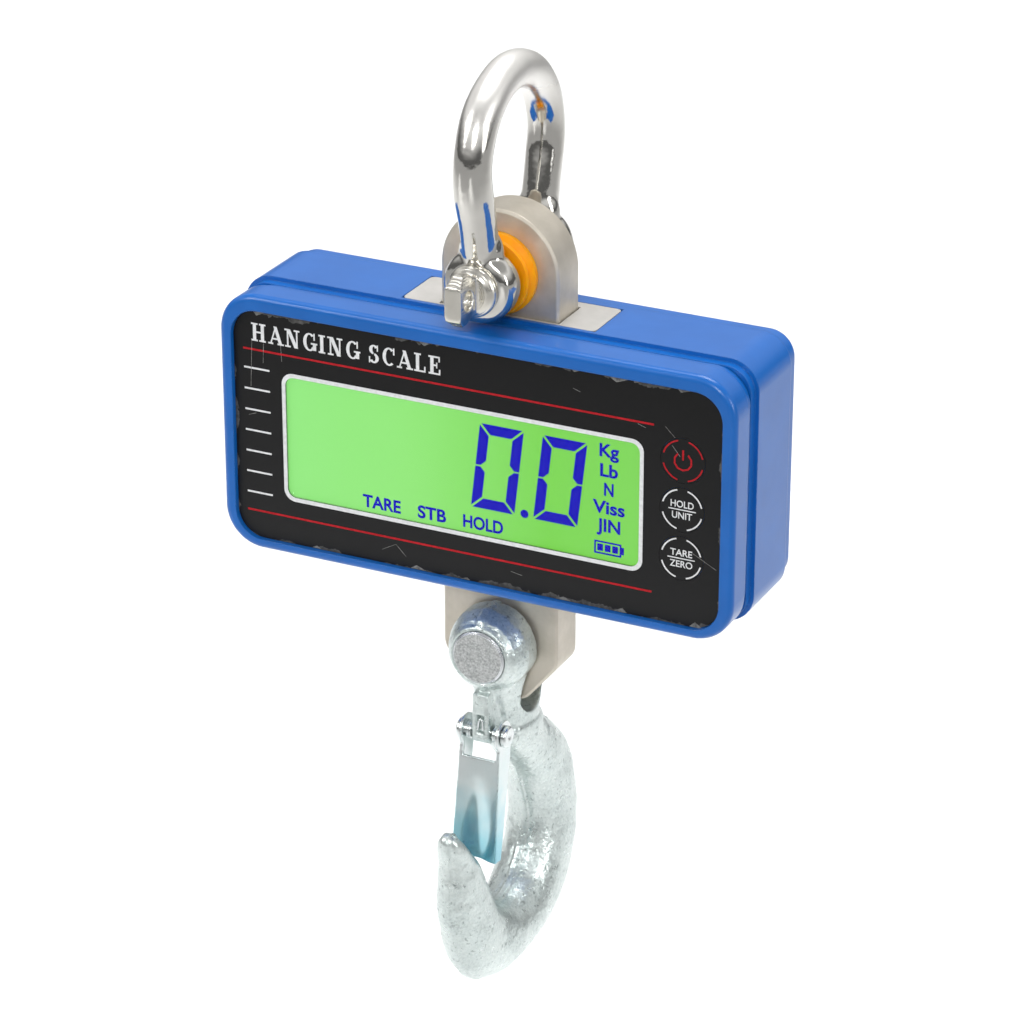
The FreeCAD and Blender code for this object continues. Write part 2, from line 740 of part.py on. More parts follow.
def front_shell():
    """The bezel: rim, recessed face with the display opening and key holes, and a stepped-in band."""
    body = new_body("front_shell")
    width, height, corner = "P.case_half_width", "P.case_half_height", "P.case_corner"
    rim = slab(body, "0", CASE_Z, width, height, corner, "-P.case_front", "P.band_length")
    front = -value_of("P.case_front")
    fillet(body, rim, lambda e: on_plane_y(e, front), "P.rim_round")
    inset = "P.seam_inset"
    slab(body, "0", CASE_Z, f"{width} - {inset}", f"{height} - {inset}", f"{corner} - {inset}",
         "P.band_length - P.case_front", "P.case_front - P.band_length - P.seam_y")
    wall = f"({inset} + P.case_wall)"
    slab(body, "0", CASE_Z, f"{width} - {wall}", f"{height} - {wall}", f"{corner} - {wall}",
         FACE_BACK_Y, "P.case_front", cut=True)
    slab(body, "0", PANEL_Z, "P.panel_half_width + P.small_gap", "P.panel_half_height + P.small_gap",
         "P.panel_corner", "-P.case_front", "P.panel_recess + P.film_thick", cut=True)
    slab(body, "P.window_x", f"{CASE_Z} + P.window_z", "P.glass_half_width + P.fit_gap",
         "P.glass_half_height + P.fit_gap", "P.glass_corner", FACE_Y, "P.face_thick", cut=True)
    for place in (-1, 0, 1):
        disc(body, "P.key_x", f"{CASE_Z} + P.key_z + {place} * P.key_pitch",
             "P.key_stem_radius + P.key_stem_gap", FACE_Y, "P.face_thick", cut=True)
    for x, z in corner_places("P.board_post_x", "P.board_post_z"):
        disc(body, x, z, "P.post_radius", FACE_BACK_Y, f"-P.board_front - {FACE_BACK_Y}")
        disc(body, x, z, "P.pilot_radius", f"{FACE_BACK_Y} + P.post_floor", "P.post_hole", cut=True)
    for x, z in corner_places("P.case_screw_x", "P.case_screw_z"):
        disc(body, x, z, "P.case_boss_radius", FACE_BACK_Y, f"-P.seam_y - {FACE_BACK_Y}")
        disc(body, x, z, "P.screw_radius", f"{FACE_BACK_Y} + P.post_floor", "P.boss_hole", cut=True)


def rear_shell():
    """The back of the case: deep wall, stepped back, battery bay, screw bosses, load cell passage."""
    body = new_body("rear_shell")
    width, height, corner = "P.case_half_width", "P.case_half_height", "P.rear_corner"
    slab(body, "0", CASE_Z, width, height, corner, "-P.rear_start", "P.step_y + P.rear_start")
    inset = "P.seam_inset"
    seam = "(P.gasket_thick - P.seam_y)"
    slab(body, "0", CASE_Z, f"{width} - {inset}", f"{height} - {inset}", f"{corner} - {inset}",
         seam, f"-P.rear_start - {seam}")
    step = "P.step_inset"
    back = slab(body, "0", CASE_Z, f"{width} - {step}", f"{height} - {step}", f"{corner} - {step}",
                "P.step_y", "P.case_back - P.step_y")
    rear = value_of("P.case_back")
    fillet(body, back, lambda e: on_plane_y(e, rear), "P.back_round")
    wall = f"({inset} + P.case_wall)"
    slab(body, "0", CASE_Z, f"{width} - {wall}", f"{height} - {wall}", f"{corner} - {wall}",
         seam, f"P.case_back - P.back_wall - {seam}", cut=True)
    bay_front = BAY_FLOOR_Y
    bay_depth = f"P.case_back - P.back_wall - {bay_front}"
    outer = "P.bay_half_width + P.bay_wall"
    plain_slab(body, f"P.battery_x - ({outer})", f"P.battery_x + {outer}",
               f"{BATTERY_LOW_Z} - P.bay_wall", f"{BATTERY_TOP_Z} + P.bay_wall",
               f"{bay_front} - P.bay_wall", f"{bay_depth} + P.bay_wall")
    for x, z in corner_places("P.case_screw_x", "P.case_screw_z"):
        disc(body, x, z, "P.case_boss_radius", seam, f"P.case_back - P.back_wall - {seam}")
    for side in (-1, 1):
        disc(body, f"{side} * P.cell_screw_x", f"{CASE_Z} + P.cell_screw_z",
             "P.cell_screw_head + P.cell_boss_wall", "P.cell_half_thick + P.press_gap",
             "P.case_back - P.back_wall - P.cell_half_thick")
    plain_slab(body, "P.battery_x - P.bay_half_width", "P.battery_x + P.bay_half_width",
               BATTERY_LOW_Z, BATTERY_TOP_Z, bay_front, "P.case_back + 1", cut=True)
    plain_slab(body, "P.battery_x - P.door_half_width", "P.battery_x + P.door_half_width",
               f"{CASE_Z} - P.case_half_height", f"{CASE_Z} + P.door_top + P.fit_gap",
               "P.case_back - P.door_thick - P.skin_gap", "P.door_thick + 1", cut=True)
    for x, z in corner_places("P.case_screw_x", "P.case_screw_z"):
        disc(body, x, z, "P.screw_radius + P.fit_gap", seam,
             "P.case_back - P.screw_head_depth + P.seam_y", cut=True)
        disc(body, x, z, "P.screw_head_radius + P.fit_gap",
             "P.case_back - P.screw_head_depth - P.screw_head_sink", "2 * P.screw_head_depth", cut=True)
    for side in (-1, 1):
        x, z = f"{side} * P.cell_screw_x", f"{CASE_Z} + P.cell_screw_z"
        disc(body, x, z, "P.cell_screw_radius + P.fit_gap", "P.cell_half_thick", "P.case_back", cut=True)
        disc(body, x, z, "P.cell_screw_head + P.fit_gap",
             "P.case_back - P.cell_head_depth - P.cell_head_sink", "2 * P.cell_head_depth", cut=True)
    cell_passage(body, "-(P.cell_half_thick + P.cell_gap)",
                 "2 * (P.cell_half_thick + P.cell_gap) - P.cell_gap")
    recess_depth = "P.plate_thick + P.skin_gap"
    for level in (f"{CASE_Z} + P.case_half_height", f"{CASE_Z} - P.case_half_height + {recess_depth}"):
        recess = sketch_on(body, "XY_Plane", out=level)
        rectangle(recess, "-P.plate_half_width - P.fit_gap", "P.plate_half_width + P.fit_gap",
                  "-P.plate_front - P.fit_gap", "P.plate_back + P.fit_gap")
        pocket(body, recess, recess_depth)


def shell_gasket():
    body = new_body("shell_gasket")
    outer = "P.seam_inset + P.gasket_inset"
    inner = "P.seam_inset + P.gasket_inset + P.gasket_width"
    width, height, corner = "P.case_half_width", "P.case_half_height", "P.case_corner"
    sketch = at_y(body, "-P.seam_y")
    for inset in (outer, inner):
        rounded_rectangle(sketch, "0", CASE_Z, f"{width} - ({inset})", f"{height} - ({inset})",
                          f"{corner} - ({inset})")
    pad(body, sketch, "P.gasket_thick", reverse=True)


def battery_door():
    """A flat cover in the back, flush with it, that slides down off the bay."""
    body = new_body("battery_door")
    low = f"({CASE_Z} - P.case_half_height + P.step_inset)"
    gap = "P.fit_gap"
    plain_slab(body, f"P.battery_x - P.door_half_width + {gap}", f"P.battery_x + P.door_half_width - {gap}",
               low, f"{CASE_Z} + P.door_top", "P.case_back - P.door_thick", "P.door_thick")
    for rib in range(5):
        z = f"({low} + P.rib_first + {rib} * P.rib_pitch)"
        plain_slab(body, "P.battery_x - P.rib_half_width", "P.battery_x + P.rib_half_width", z,
                   f"{z} + P.rib_high", "P.case_back - P.rib_deep", "2 * P.rib_deep", cut=True)


# ---------------------------------------------------------------- front panel, keys, display
def front_panel():
    """The printed film on the face, with the display window and a round hole for each key."""
    body = new_body("front_panel")
    slab(body, "0", PANEL_Z, "P.panel_half_width", "P.panel_half_height", "P.panel_corner",
         PANEL_Y, "P.film_thick - P.press_gap")
    slab(body, "P.window_x", f"{CASE_Z} + P.window_z", "P.window_half_width + P.skin_gap",
         "P.window_half_height + P.skin_gap", "P.window_corner", PANEL_Y, "P.film_thick", cut=True)
    for place in (-1, 0, 1):
        disc(body, "P.key_x", f"{CASE_Z} + P.key_z + {place} * P.key_pitch",
             "P.key_radius + P.key_gap", PANEL_Y, "P.film_thick", cut=True)


def key(label, place):
    """A round key of the film with the stem that reaches its switch."""
    body = new_body(label)
    z = f"{CASE_Z} + P.key_z + {place} * P.key_pitch"
    disc(body, "P.key_x", z, "P.key_radius", PANEL_Y, "P.key_thick")
    disc(body, "P.key_x", z, "P.key_stem_radius", PANEL_Y, f"-P.key_stem_end - {PANEL_Y}")


def display():
    """Clear window, liquid crystal glass, light guide behind it, and the frame that holds them."""
    x, z = "P.window_x", f"{CASE_Z} + P.window_z"
    window = new_body("display_window")
    slab(window, x, z, "P.window_half_width", "P.window_half_height", "P.window_corner - P.skin_gap",
         PANEL_Y, "P.lens_thick")
    glass = new_body("lcd_glass")
    plain_slab(glass, f"{x} - P.glass_half_width", f"{x} + P.glass_half_width",
               f"{z} - P.glass_half_height", f"{z} + P.glass_half_height", GLASS_Y, "P.glass_thick")
    light = new_body("lcd_backlight")
    light_y = f"({GLASS_Y} + P.glass_thick)"
    plain_slab(light, f"{x} - P.glass_half_width", f"{x} + P.glass_half_width",
               f"{z} - P.glass_half_height", f"{z} + P.glass_half_height", light_y, "P.backlight_thick")
    frame = new_body("lcd_frame")
    margin, wall = "P.small_gap", "P.frame_wall"
    wide, tall = f"P.glass_half_width + {margin}", f"P.glass_half_height + {margin}"
    plain_slab(frame, f"{x} - ({wide} + {wall})", f"{x} + {wide} + {wall}",
               f"{z} - ({tall} + {wall})", f"{z} + {tall} + {wall}", f"{FACE_BACK_Y} + {margin}",
               f"-P.board_front - {FACE_BACK_Y} - {margin} - P.skin_gap")
    plain_slab(frame, f"{x} - ({wide})", f"{x} + {wide}", f"{z} - ({tall})", f"{z} + {tall}",
               FACE_BACK_Y, f"{light_y} + P.backlight_thick - {FACE_BACK_Y} + P.skin_gap", cut=True)


# ---------------------------------------------------------------- electronics
def main_pcb():
    body = new_body("main_pcb")
    slab(body, "0", CASE_Z, "P.board_half_width", "P.board_half_height", "P.board_corner",
         "-P.board_front", "P.board_thick")
    for x, z in corner_places("P.board_post_x", "P.board_post_z"):
        disc(body, x, z, "P.screw_radius + P.small_gap", "-P.board_front", "P.board_thick", cut=True)


# Chips: place of the lowest corner on the board in X and Z, then width, height and thickness.
CHIPS = [(-48, 8, 12, 12, 1.6), (-30, -12, 9, 6, 1.5), (36, 16, 8, 5, 1.5),
         (-46, -16, 4, 3, 1.0), (-38, -16, 4, 3, 1.0), (20, -22, 5, 4, 1.2)]


def pcb_parts():
    """Chips and capacitors on the back of the board, the sensor plug, the buzzer and the key switches."""
    back = "(P.board_thick - P.board_front)"
    chips = []
    for x, z, wide, tall, thick in CHIPS:
        chips.append(box("Chip", str(x), back, f"{CASE_Z} + {z}", str(wide), str(thick), str(tall)))
    for side in (-1, 1):
        chips.append(cylinder("Capacitor", f"{side} * P.capacitor_x", back, f"{CASE_Z} + P.capacitor_z",
                              "P.capacitor_radius", "P.capacitor_high", "y"))
    group("pcb_chips", chips)
    sensor_plug = new_body("sensor_plug")
    plain_slab(sensor_plug, "P.plug_left", "P.plug_right", f"{CASE_Z} - P.plug_half_height",
               f"{CASE_Z} + P.plug_half_height", back, "P.plug_high")
    buzzer = new_body("buzzer")
    x, z = "P.buzzer_x", f"{CASE_Z} + P.buzzer_z"
    disc(buzzer, x, z, "P.buzzer_radius", back, "P.buzzer_high")
    disc(buzzer, x, z, "P.buzzer_port_radius", f"{back} + P.buzzer_high - P.buzzer_port_deep",
         "2 * P.buzzer_port_deep", cut=True)
    switches = []
    front = "-P.board_front - P.switch_high"
    for place in (-1, 0, 1):
        z = f"{CASE_Z} + P.key_z + {place} * P.key_pitch"
        case = box("SwitchCase", "P.key_x - P.switch_half", front, f"{z} - P.switch_half",
                   "2 * P.switch_half", "P.switch_high", "2 * P.switch_half")
        button = cylinder("SwitchButton", "P.key_x", f"{front} - P.button_high", z, "P.button_radius",
                          "P.button_high + P.fit_gap", "y")
        switches.append(fuse("KeySwitch", [case, button]))
    group("key_switches", switches)


def screw(label, x, z, head_back, head_radius, head_depth, shank, length):
    """A pan-head screw driven towards -Y, with a cross recess in its head."""
    head = cylinder("ScrewHead", x, f"{head_back} - {head_depth}", z, head_radius, head_depth, "y")
    stem = cylinder("ScrewShank", x, f"{head_back} - {head_depth} - ({length})", z, shank,
                    f"{length} + P.small_gap", "y")
    whole = fuse("ScrewBlank", [head, stem])
    arms = []
    for across, up in (("P.cross_long", "P.cross_wide"), ("P.cross_wide", "P.cross_long")):
        arms.append(box("CrossArm", f"{x} - {across} / 2", f"{head_back} - P.cross_deep", f"{z} - {up} / 2",
                        across, "P.cross_deep + P.small_gap", up))
    return cut(label, whole, fuse("CrossRecess", arms))


def screws():
    case = []
    head = "P.case_back - P.screw_head_sink"
    for x, z in corner_places("P.case_screw_x", "P.case_screw_z"):
        case.append(screw("CaseScrew", x, z, head, "P.screw_head_radius", "P.screw_head_depth",
                          "P.screw_radius - P.press_gap",
                          f"{head} - P.screw_head_depth + P.seam_y + P.case_screw_grip"))
    group("case_screws", case)
    cell = []
    head = "P.case_back - P.cell_head_sink"
    for side in (-1, 1):
        cell.append(screw("CellScrew", f"{side} * P.cell_screw_x", f"{CASE_Z} + P.cell_screw_z",
                          head, "P.cell_screw_head", "P.cell_head_depth", "P.cell_screw_radius - P.press_gap",
                          f"{head} - P.cell_head_depth - P.cell_half_thick + P.cell_screw_grip"))
    group("cell_screws", cell)
    board = []
    for x, z in corner_places("P.board_post_x", "P.board_post_z"):
        board.append(screw("BoardScrew", x, z, "P.board_thick - P.board_front + P.board_head_depth",
                           "P.board_screw_head", "P.board_head_depth", "P.pilot_radius - P.press_gap",
                           "P.board_thick + P.board_screw_grip"))
    group("pcb_screws", board)


# ---------------------------------------------------------------- batteries and leads
def battery_pack():
    """Three cells side by side, each between two contact plates, with a spring at its lower end."""
    cells, plates, springs = [], [], []
    spring_z = f"{BATTERY_LOW_Z} + P.skin_gap + P.contact_thick + P.press_gap"
    spring_height = "P.bay_half_height - P.battery_half_length - P.contact_thick - P.small_gap"
    for place in (-1, 0, 1):
        x = f"P.battery_x + {place} * P.battery_pitch"
        low = f"{CASE_Z} - P.battery_half_length"
        can = cylinder("BatteryCan", x, "P.battery_y", low, "P.battery_radius - P.battery_sleeve_gap",
                       "2 * P.battery_half_length - P.battery_tip_high", "z")
        tip = cylinder("BatteryTip", x, "P.battery_y",
                       f"{CASE_Z} + P.battery_half_length - P.battery_tip_high - P.small_gap",
                       "P.battery_tip_radius", "P.battery_tip_high + P.small_gap", "z")
        cells.append(fuse("Battery", [can, tip]))
        for z in (f"{BATTERY_LOW_Z} + P.skin_gap", f"{BATTERY_TOP_Z} - P.skin_gap - P.contact_thick"):
            plates.append(box("ContactPlate", f"{x} - P.contact_half_width",
                              "P.battery_y - P.contact_half_deep", z, "2 * P.contact_half_width",
                              "2 * P.contact_half_deep", "P.contact_thick"))
        spring = doc.addObject("Part::Cone", "ContactSpring")
        spring.setExpression("Radius1", "P.spring_foot_radius")
        spring.setExpression("Radius2", "P.spring_head_radius")
        spring.setExpression("Height", spring_height)
        for name, expression in (("x", x), ("y", "P.battery_y"), ("z", spring_z)):
            spring.setExpression(f"Placement.Base.{name}", expression)
        springs.append(spring)
    group("battery_cells", cells)
    group("battery_contacts", plates)
    group("battery_springs", springs)


def leads():
    """The sensor lead from the potted gauges to its plug, and the two battery wires."""
    wire, bend = "P.lead_radius", "P.lead_bend"
    x, run_y = "P.lead_x", "P.lead_y"
    out = cylinder("LeadOut", x, f"{run_y} + {bend}", CASE_Z, wire,
                   f"P.potting_recess - P.cell_half_thick - ({run_y} + {bend})", "y")
    elbow = doc.addObject("Part::Torus", "LeadElbow")
    elbow.setExpression("Radius1", bend)
    elbow.setExpression("Radius2", wire)
    elbow.Angle3 = 90
    elbow.Placement.Rotation = FreeCAD.Rotation(Vector(0, 0, 1), -90)
    for name, expression in (("x", f"{x} - {bend}"), ("y", f"{run_y} + {bend}"), ("z", CASE_Z)):
        elbow.setExpression(f"Placement.Base.{name}", expression)
    along = cylinder("LeadAlong", "P.plug_right", run_y, CASE_Z, wire, f"{x} - {bend} - P.plug_right", "x")
    finish(fuse("Lead", [out, elbow, along]), "sensor_lead")
    back = "(P.board_thick - P.board_front)"
    wires = []
    for place in (-1, 1):
        wires.append(cylinder("BatteryWire", "P.battery_x", back, f"{CASE_Z} + {place} * P.wire_z",
                              "P.wire_radius", f"{BAY_FLOOR_Y} - P.bay_wall - {back}", "y"))
    group("battery_leads", wires)


# ---------------------------------------------------------------- hook
# Sections of the hook round the bowl's centre: angle above +Y in degrees, inside and outside radius of
# the section, and half its thickness along X.
HOOK_SECTIONS = [
    (62, 21.5, 40.0, 8.8),
    (40, 18.2, 41.0, 9.4),
    (16, 17.1, 42.6, 9.8),
    (-10, 17.1, 44.0, 10.2),
    (-36, 17.6, 45.0, 10.6),
    (-62, 18.8, 42.6, 10.8),
    (-90, 19.6, 41.6, 10.4),
    (-112, 18.4, 42.4, 9.6),
    (-138, 15.2, 38.4, 8.2),
    (-165, 14.8, 35.2, 6.9),
    (-186, 17.4, 34.4, 6.0),
    (-199, 24.0, 36.8, 5.2),
    (-207, 31.0, 40.0, 4.4),
]


def oval(centre, across, half_across, half_x):
    """An elliptical section in the plane of the X axis and the unit vector across."""
    ellipse = Part.Ellipse(Vector(0, 0, 0), max(half_across, half_x), min(half_across, half_x))
    wire = Part.Wire([ellipse.toShape()])
    major = across if half_across >= half_x else Vector(1, 0, 0)
    minor = Vector(1, 0, 0) if half_across >= half_x else across
    normal = major.cross(minor)
    matrix = FreeCAD.Matrix(major.x, minor.x, normal.x, centre.x, major.y, minor.y, normal.y, centre.y,
                            major.z, minor.z, normal.z, centre.z, 0, 0, 0, 1)
    wire.transformShape(matrix)
    return wire


AXIS_X, AXIS_Y = Vector(1, 0, 0), Vector(0, 1, 0)
FAR = 80  # longer than the hook is wide or deep, for cutters that run right through

# The sections that lead from the neck into the hook: shift in Y, height above the neck's foot, loss of
# half width in Y and gain of half width in X.
NECK_SECTIONS = [(0, 3, 0, 0.3), (2.2, -1.5, 1, 0.4)]
NECK_TURN = Vector(0, 0.985, 0.17)

# The dome of an eye: how far each rim lies inside the eye's outer end, and its share of the eye's radius.
EYE_DOME = [(2.2, 0.86), (0, 0.68)]
EYE_ROOT, EYE_SHOULDER = 0.97, 2

# The block under the eyes: depth below the pin, loss of half width in Y, and share of the eye's radius in X.
FORK_BLOCK = [(2, 1.6, 0.93), (9, 2.6, 0.84), (16, 5.2, 0.71)]
NECK_DROP, NECK_HALF_X, NECK_HALF_Y = 31, 8.4, 12.0
SHOULDER_DROP, SHOULDER_SPREAD = 22, 0.8

# The lug's root: its back lies inside the neck, from just above the eye's lower edge to below the rivet.
LUG_ROOT_Y, LUG_ROOT_LOW, LUG_TOP_DROP, LUG_FRONT_DROP = -8, 6, 10, 12.5


def hook_fork(pin_z):
    """Two domed eyes about the pin, and the oval block below them that narrows to the neck."""
    gap, wide, eye = value_of("P.fork_gap_half"), value_of("P.fork_half_width"), value_of("P.fork_radius")
    dome = [(0, 0), (0, eye * EYE_ROOT), (gap + EYE_SHOULDER, eye), ((gap + wide) / 2, eye)]
    dome += [(wide - inside, eye * share) for inside, share in EYE_DOME] + [(wide, 0)]
    half_dome = Part.Face(Part.makePolygon([Vector(0, y, pin_z + r) for y, r in dome + dome[:1]]))
    pin = Vector(0, 0, pin_z)
    rear_eye = half_dome.revolve(pin, AXIS_Y, 360)
    front_eye = half_dome.mirror(Vector(0, 0, 0), AXIS_Y).revolve(pin, AXIS_Y, 360)
    block = [(drop, wide - loss, eye * share) for drop, loss, share in FORK_BLOCK]
    block += [(SHOULDER_DROP, NECK_HALF_Y + SHOULDER_SPREAD, NECK_HALF_X),
              (NECK_DROP, NECK_HALF_Y, NECK_HALF_X)]
    ovals = [oval(Vector(0, 0, pin_z - drop), AXIS_Y, deep, half) for drop, deep, half in block]
    return Part.makeLoft(ovals, True, False).fuse([front_eye, rear_eye])


def hook_sweep(neck_z):
    """The neck, spine, bowl and tip as one loft through oval sections."""
    bowl = Vector(0, value_of("P.bowl_y"), value_of("P.bowl_z"))
    sections = []
    for (shift, rise, loss, gain), across in zip(NECK_SECTIONS, (AXIS_Y, NECK_TURN.normalize())):
        centre = Vector(0, shift, neck_z + rise)
        sections.append(oval(centre, across, NECK_HALF_Y - loss, NECK_HALF_X + gain))
    for angle, inside, outside, half_x in HOOK_SECTIONS:
        a = math.radians(angle)
        radial = Vector(0, math.cos(a), math.sin(a))
        middle = bowl + radial * ((inside + outside) / 2)
        sections.append(oval(middle, radial, (outside - inside) / 2, half_x))
    return Part.makeLoft(sections, True, False)


def hook_lug(pin_z, lug_at):
    """The lug on the front of the neck that carries the latch: its round foot, and the web above it."""
    half, radius = value_of("P.lug_half_width"), value_of("P.lug_radius")
    foot = Part.makeCylinder(radius, 2 * half, lug_at - AXIS_X * half, AXIS_X)
    face = lug_at.y - radius
    corners = [(lug_at.y, lug_at.z - radius), (LUG_ROOT_Y, lug_at.z - LUG_ROOT_LOW),
               (LUG_ROOT_Y, pin_z - LUG_TOP_DROP), (face, pin_z - LUG_FRONT_DROP), (face, lug_at.z)]
    web = [Vector(-half, y, z) for y, z in corners + corners[:1]]
    return [foot, Part.Face(Part.makePolygon(web)).extrude(AXIS_X * (2 * half))]


def clevis_hook():
    """A forged hook: fork with two eyes, neck with the latch lug, spine, bowl and tip."""
    pin_z = value_of(CLEVIS_Z)
    gap = value_of("P.fork_gap_half")
    lug_at = Vector(0, value_of("P.latch_y"), value_of("P.latch_z"))
    pieces = [hook_sweep(pin_z - NECK_DROP)] + hook_lug(pin_z, lug_at)
    hook = hook_fork(pin_z).fuse(pieces).removeSplitter()

    # The slot between the eyes ends in a half round. Bores take the clevis pin and the latch's rivet.
    slot_foot = pin_z - value_of("P.fork_slot_drop") + gap
    slot_round = Part.makeCylinder(gap, FAR, Vector(-FAR / 2, 0, slot_foot), AXIS_X)
    slot_box = Part.makeBox(FAR, 2 * gap, FAR, Vector(-FAR / 2, -gap, slot_foot))
    pin_radius = value_of("P.clevis_pin_radius + P.press_gap")
    rivet_radius = value_of("P.rivet_radius + P.skin_gap")
    bore = Part.makeCylinder(pin_radius, FAR, Vector(0, -FAR / 2, pin_z), AXIS_Y)
    rivet_bore = Part.makeCylinder(rivet_radius, FAR, lug_at - AXIS_X * (FAR / 2), AXIS_X)
    made = doc.addObject("Part::Feature", "Hook")
    made.Shape = hook.cut(slot_round).cut(slot_box).cut(bore).cut(rivet_bore)
    finish(made, "clevis_hook")


def clevis_pin():
    body = new_body("clevis_pin")
    end, bevel = "(P.fork_half_width + P.clevis_pin_end)", "P.clevis_pin_bevel"
    turned(body, CLEVIS_Z, [
        (f"-{end}", "0"),
        (f"-{end}", f"P.clevis_pin_radius - {bevel}"),
        (f"{bevel} - {end}", "P.clevis_pin_radius"),
        (f"{end} - {bevel}", "P.clevis_pin_radius"),
        (end, f"P.clevis_pin_radius - {bevel}"),
        (end, "0"),
    ])


def latch_rivet():
    """The rivet across the lug, with a round head at each end and a dimple in each head."""
    body = new_body("latch_rivet")
    inner, face = "(P.latch_half_width + P.rivet_gap)", "P.rivet_head_face"
    round_off, head, shank = "P.rivet_head_round", "P.rivet_head_radius", "P.rivet_radius"
    sketch = sketch_on(body, "XY_Plane", up="P.latch_y", out="P.latch_z")
    polygon(sketch, [
        (f"{round_off} - {face}", "0"), (f"-{face}", "P.rivet_dimple"), (f"-{face}", f"{head} - {round_off}"),
        (f"{round_off} - {face}", head), (f"-{inner}", head), (f"-{inner}", shank), (inner, shank),
        (inner, head), (f"{face} - {round_off}", head), (face, f"{head} - {round_off}"),
        (face, "P.rivet_dimple"), (f"{face} - {round_off}", "0"),
    ])
    revolve(body, sketch)


# The latch's sheet, seen from the side with the rivet at the origin: the plate's front and top edges,
# the ear's radius, and the flange's back edge, which slopes from the ear to a lip behind the tip.
PLATE_FRONT, PLATE_TOP, EAR_RADIUS = -3.1, -7.2, 4.8
FLANGE_LIP, FLANGE_BACK, FLANGE_BACK_DROP = 4.0, 4.6, 9.0


def latch_wedge(inset, front, back):
    """A prism between the planes front and back whose sides spread from the ears to the tip."""
    length, top_half = value_of("P.latch_length"), value_of("P.latch_half_width")
    low, high = -length - 1, EAR_RADIUS + 1
    spread = (value_of("P.latch_tip_half") - top_half) / length
    at_low, at_high = top_half - inset - spread * low, top_half - inset - spread * high
    corners = [Vector(-at_low, front, low), Vector(at_low, front, low), Vector(at_high, front, high),
               Vector(-at_high, front, high), Vector(-at_low, front, low)]
    return Part.Face(Part.makePolygon(corners)).extrude(Vector(0, back - front, 0))


def latch():
    """Folded sheet: a front plate between two flanges, with round ears on the rivet."""
    sheet, length = value_of("P.latch_sheet"), value_of("P.latch_length")
    side = -FAR / 2
    outline = [(PLATE_FRONT, 0), (PLATE_FRONT, -length), (PLATE_FRONT + FLANGE_LIP, -length),
               (FLANGE_BACK, -FLANGE_BACK_DROP), (EAR_RADIUS, 0)]
    profile = Part.Face(Part.makePolygon([Vector(side, y, z) for y, z in outline + outline[:1]]))
    profile = profile.extrude(AXIS_X * FAR).fuse(Part.makeCylinder(EAR_RADIUS, FAR, AXIS_X * side, AXIS_X))
    shape = latch_wedge(0, -FAR / 2, FAR / 2).common(profile)
    shape = shape.cut(latch_wedge(sheet, PLATE_FRONT + sheet, FAR / 2))
    between = value_of("P.latch_half_width") - sheet
    shape = shape.cut(Part.makeBox(2 * between, FAR, FAR, Vector(-between, PLATE_FRONT - FAR / 2, PLATE_TOP)))
    bore = value_of("P.rivet_radius + P.latch_bore_gap")
    shape = shape.cut(Part.makeCylinder(bore, FAR, AXIS_X * side, AXIS_X))
    made = doc.addObject("Part::Feature", "LatchSheet")
    made.Shape = shape.removeSplitter()
    place = Vector(0, value_of("P.latch_y"), value_of("P.latch_z"))
    made.Placement = FreeCAD.Placement(place, FreeCAD.Rotation(AXIS_X, -value_of("P.latch_lean")))
    finish(made, "latch")


def latch_spring():
    """The two coils of the torsion spring on the rivet, one each side of the lug."""
    coils = []
    gap, clear = "P.coil_side_gap", "P.rivet_radius + P.fit_gap"
    length = f"P.latch_half_width - P.latch_sheet - P.lug_half_width - 2 * {gap}"
    for start in (f"{gap} - P.latch_half_width + P.latch_sheet", f"P.lug_half_width + {gap}"):
        outer = cylinder("Coil", start, "P.latch_y", "P.latch_z", f"{clear} + P.coil_wire", length, "x")
        inner = cylinder("CoilBore", start, "P.latch_y", "P.latch_z", clear, length, "x")
        coils.append(cut("SpringCoil", outer, inner))
    group("latch_spring", coils)


# ---------------------------------------------------------------- the whole scale
shackle_bow()
shackle_pin()
load_cell()
eye_bush("bush_front", -1)
eye_bush("bush_rear", 1)
clevis_bush()
gauge_parts()
end_plate("top_plate", f"{CASE_Z} + P.case_half_height", f"{CASE_Z} + P.case_half_height - P.plate_thick")
end_plate("bottom_plate", f"{CASE_Z} - P.case_half_height + P.plate_thick", f"{CASE_Z} - P.case_half_height")
front_shell()
rear_shell()
shell_gasket()
battery_door()
front_panel()
for key_label, key_place in (("power_key", 1), ("hold_unit_key", 0), ("tare_zero_key", -1)):
    key(key_label, key_place)
display()
main_pcb()
pcb_parts()
screws()
battery_pack()
leads()
clevis_hook()
clevis_pin()
latch_rivet()
latch()
latch_spring()
doc.recompute()

for thing in doc.Objects:
    if {"Invalid", "Error"} & set(thing.State):
        raise RuntimeError(f"{thing.Label} ({thing.Name}) failed: {thing.State}")
for part in FINISHED:
    if part.Shape.isNull() or not part.Shape.isValid():
        raise RuntimeError(f"{part.Label} has no valid shape")

os.makedirs("parts", exist_ok=True)
for part in FINISHED:
    part.Shape.exportStep(f"parts/{part.Label}.step")
    box_of = part.Shape.BoundBox
    print(f"{part.Label}: {len(part.Shape.Solids)} solid(s), {part.Shape.Volume:.0f} mm3, "
          f"{box_of.XLength:.1f} x {box_of.YLength:.1f} x {box_of.ZLength:.1f}")
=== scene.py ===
"""Looks of the mini crane scale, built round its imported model.

Metres, in the model's own frame: the origin is the hang point, +Z is up, +Y runs from the display to the
back, and +X is to the right of someone who reads the display.
"""
import math

import bmesh
import bpy
from mathutils import Matrix, Vector, noise


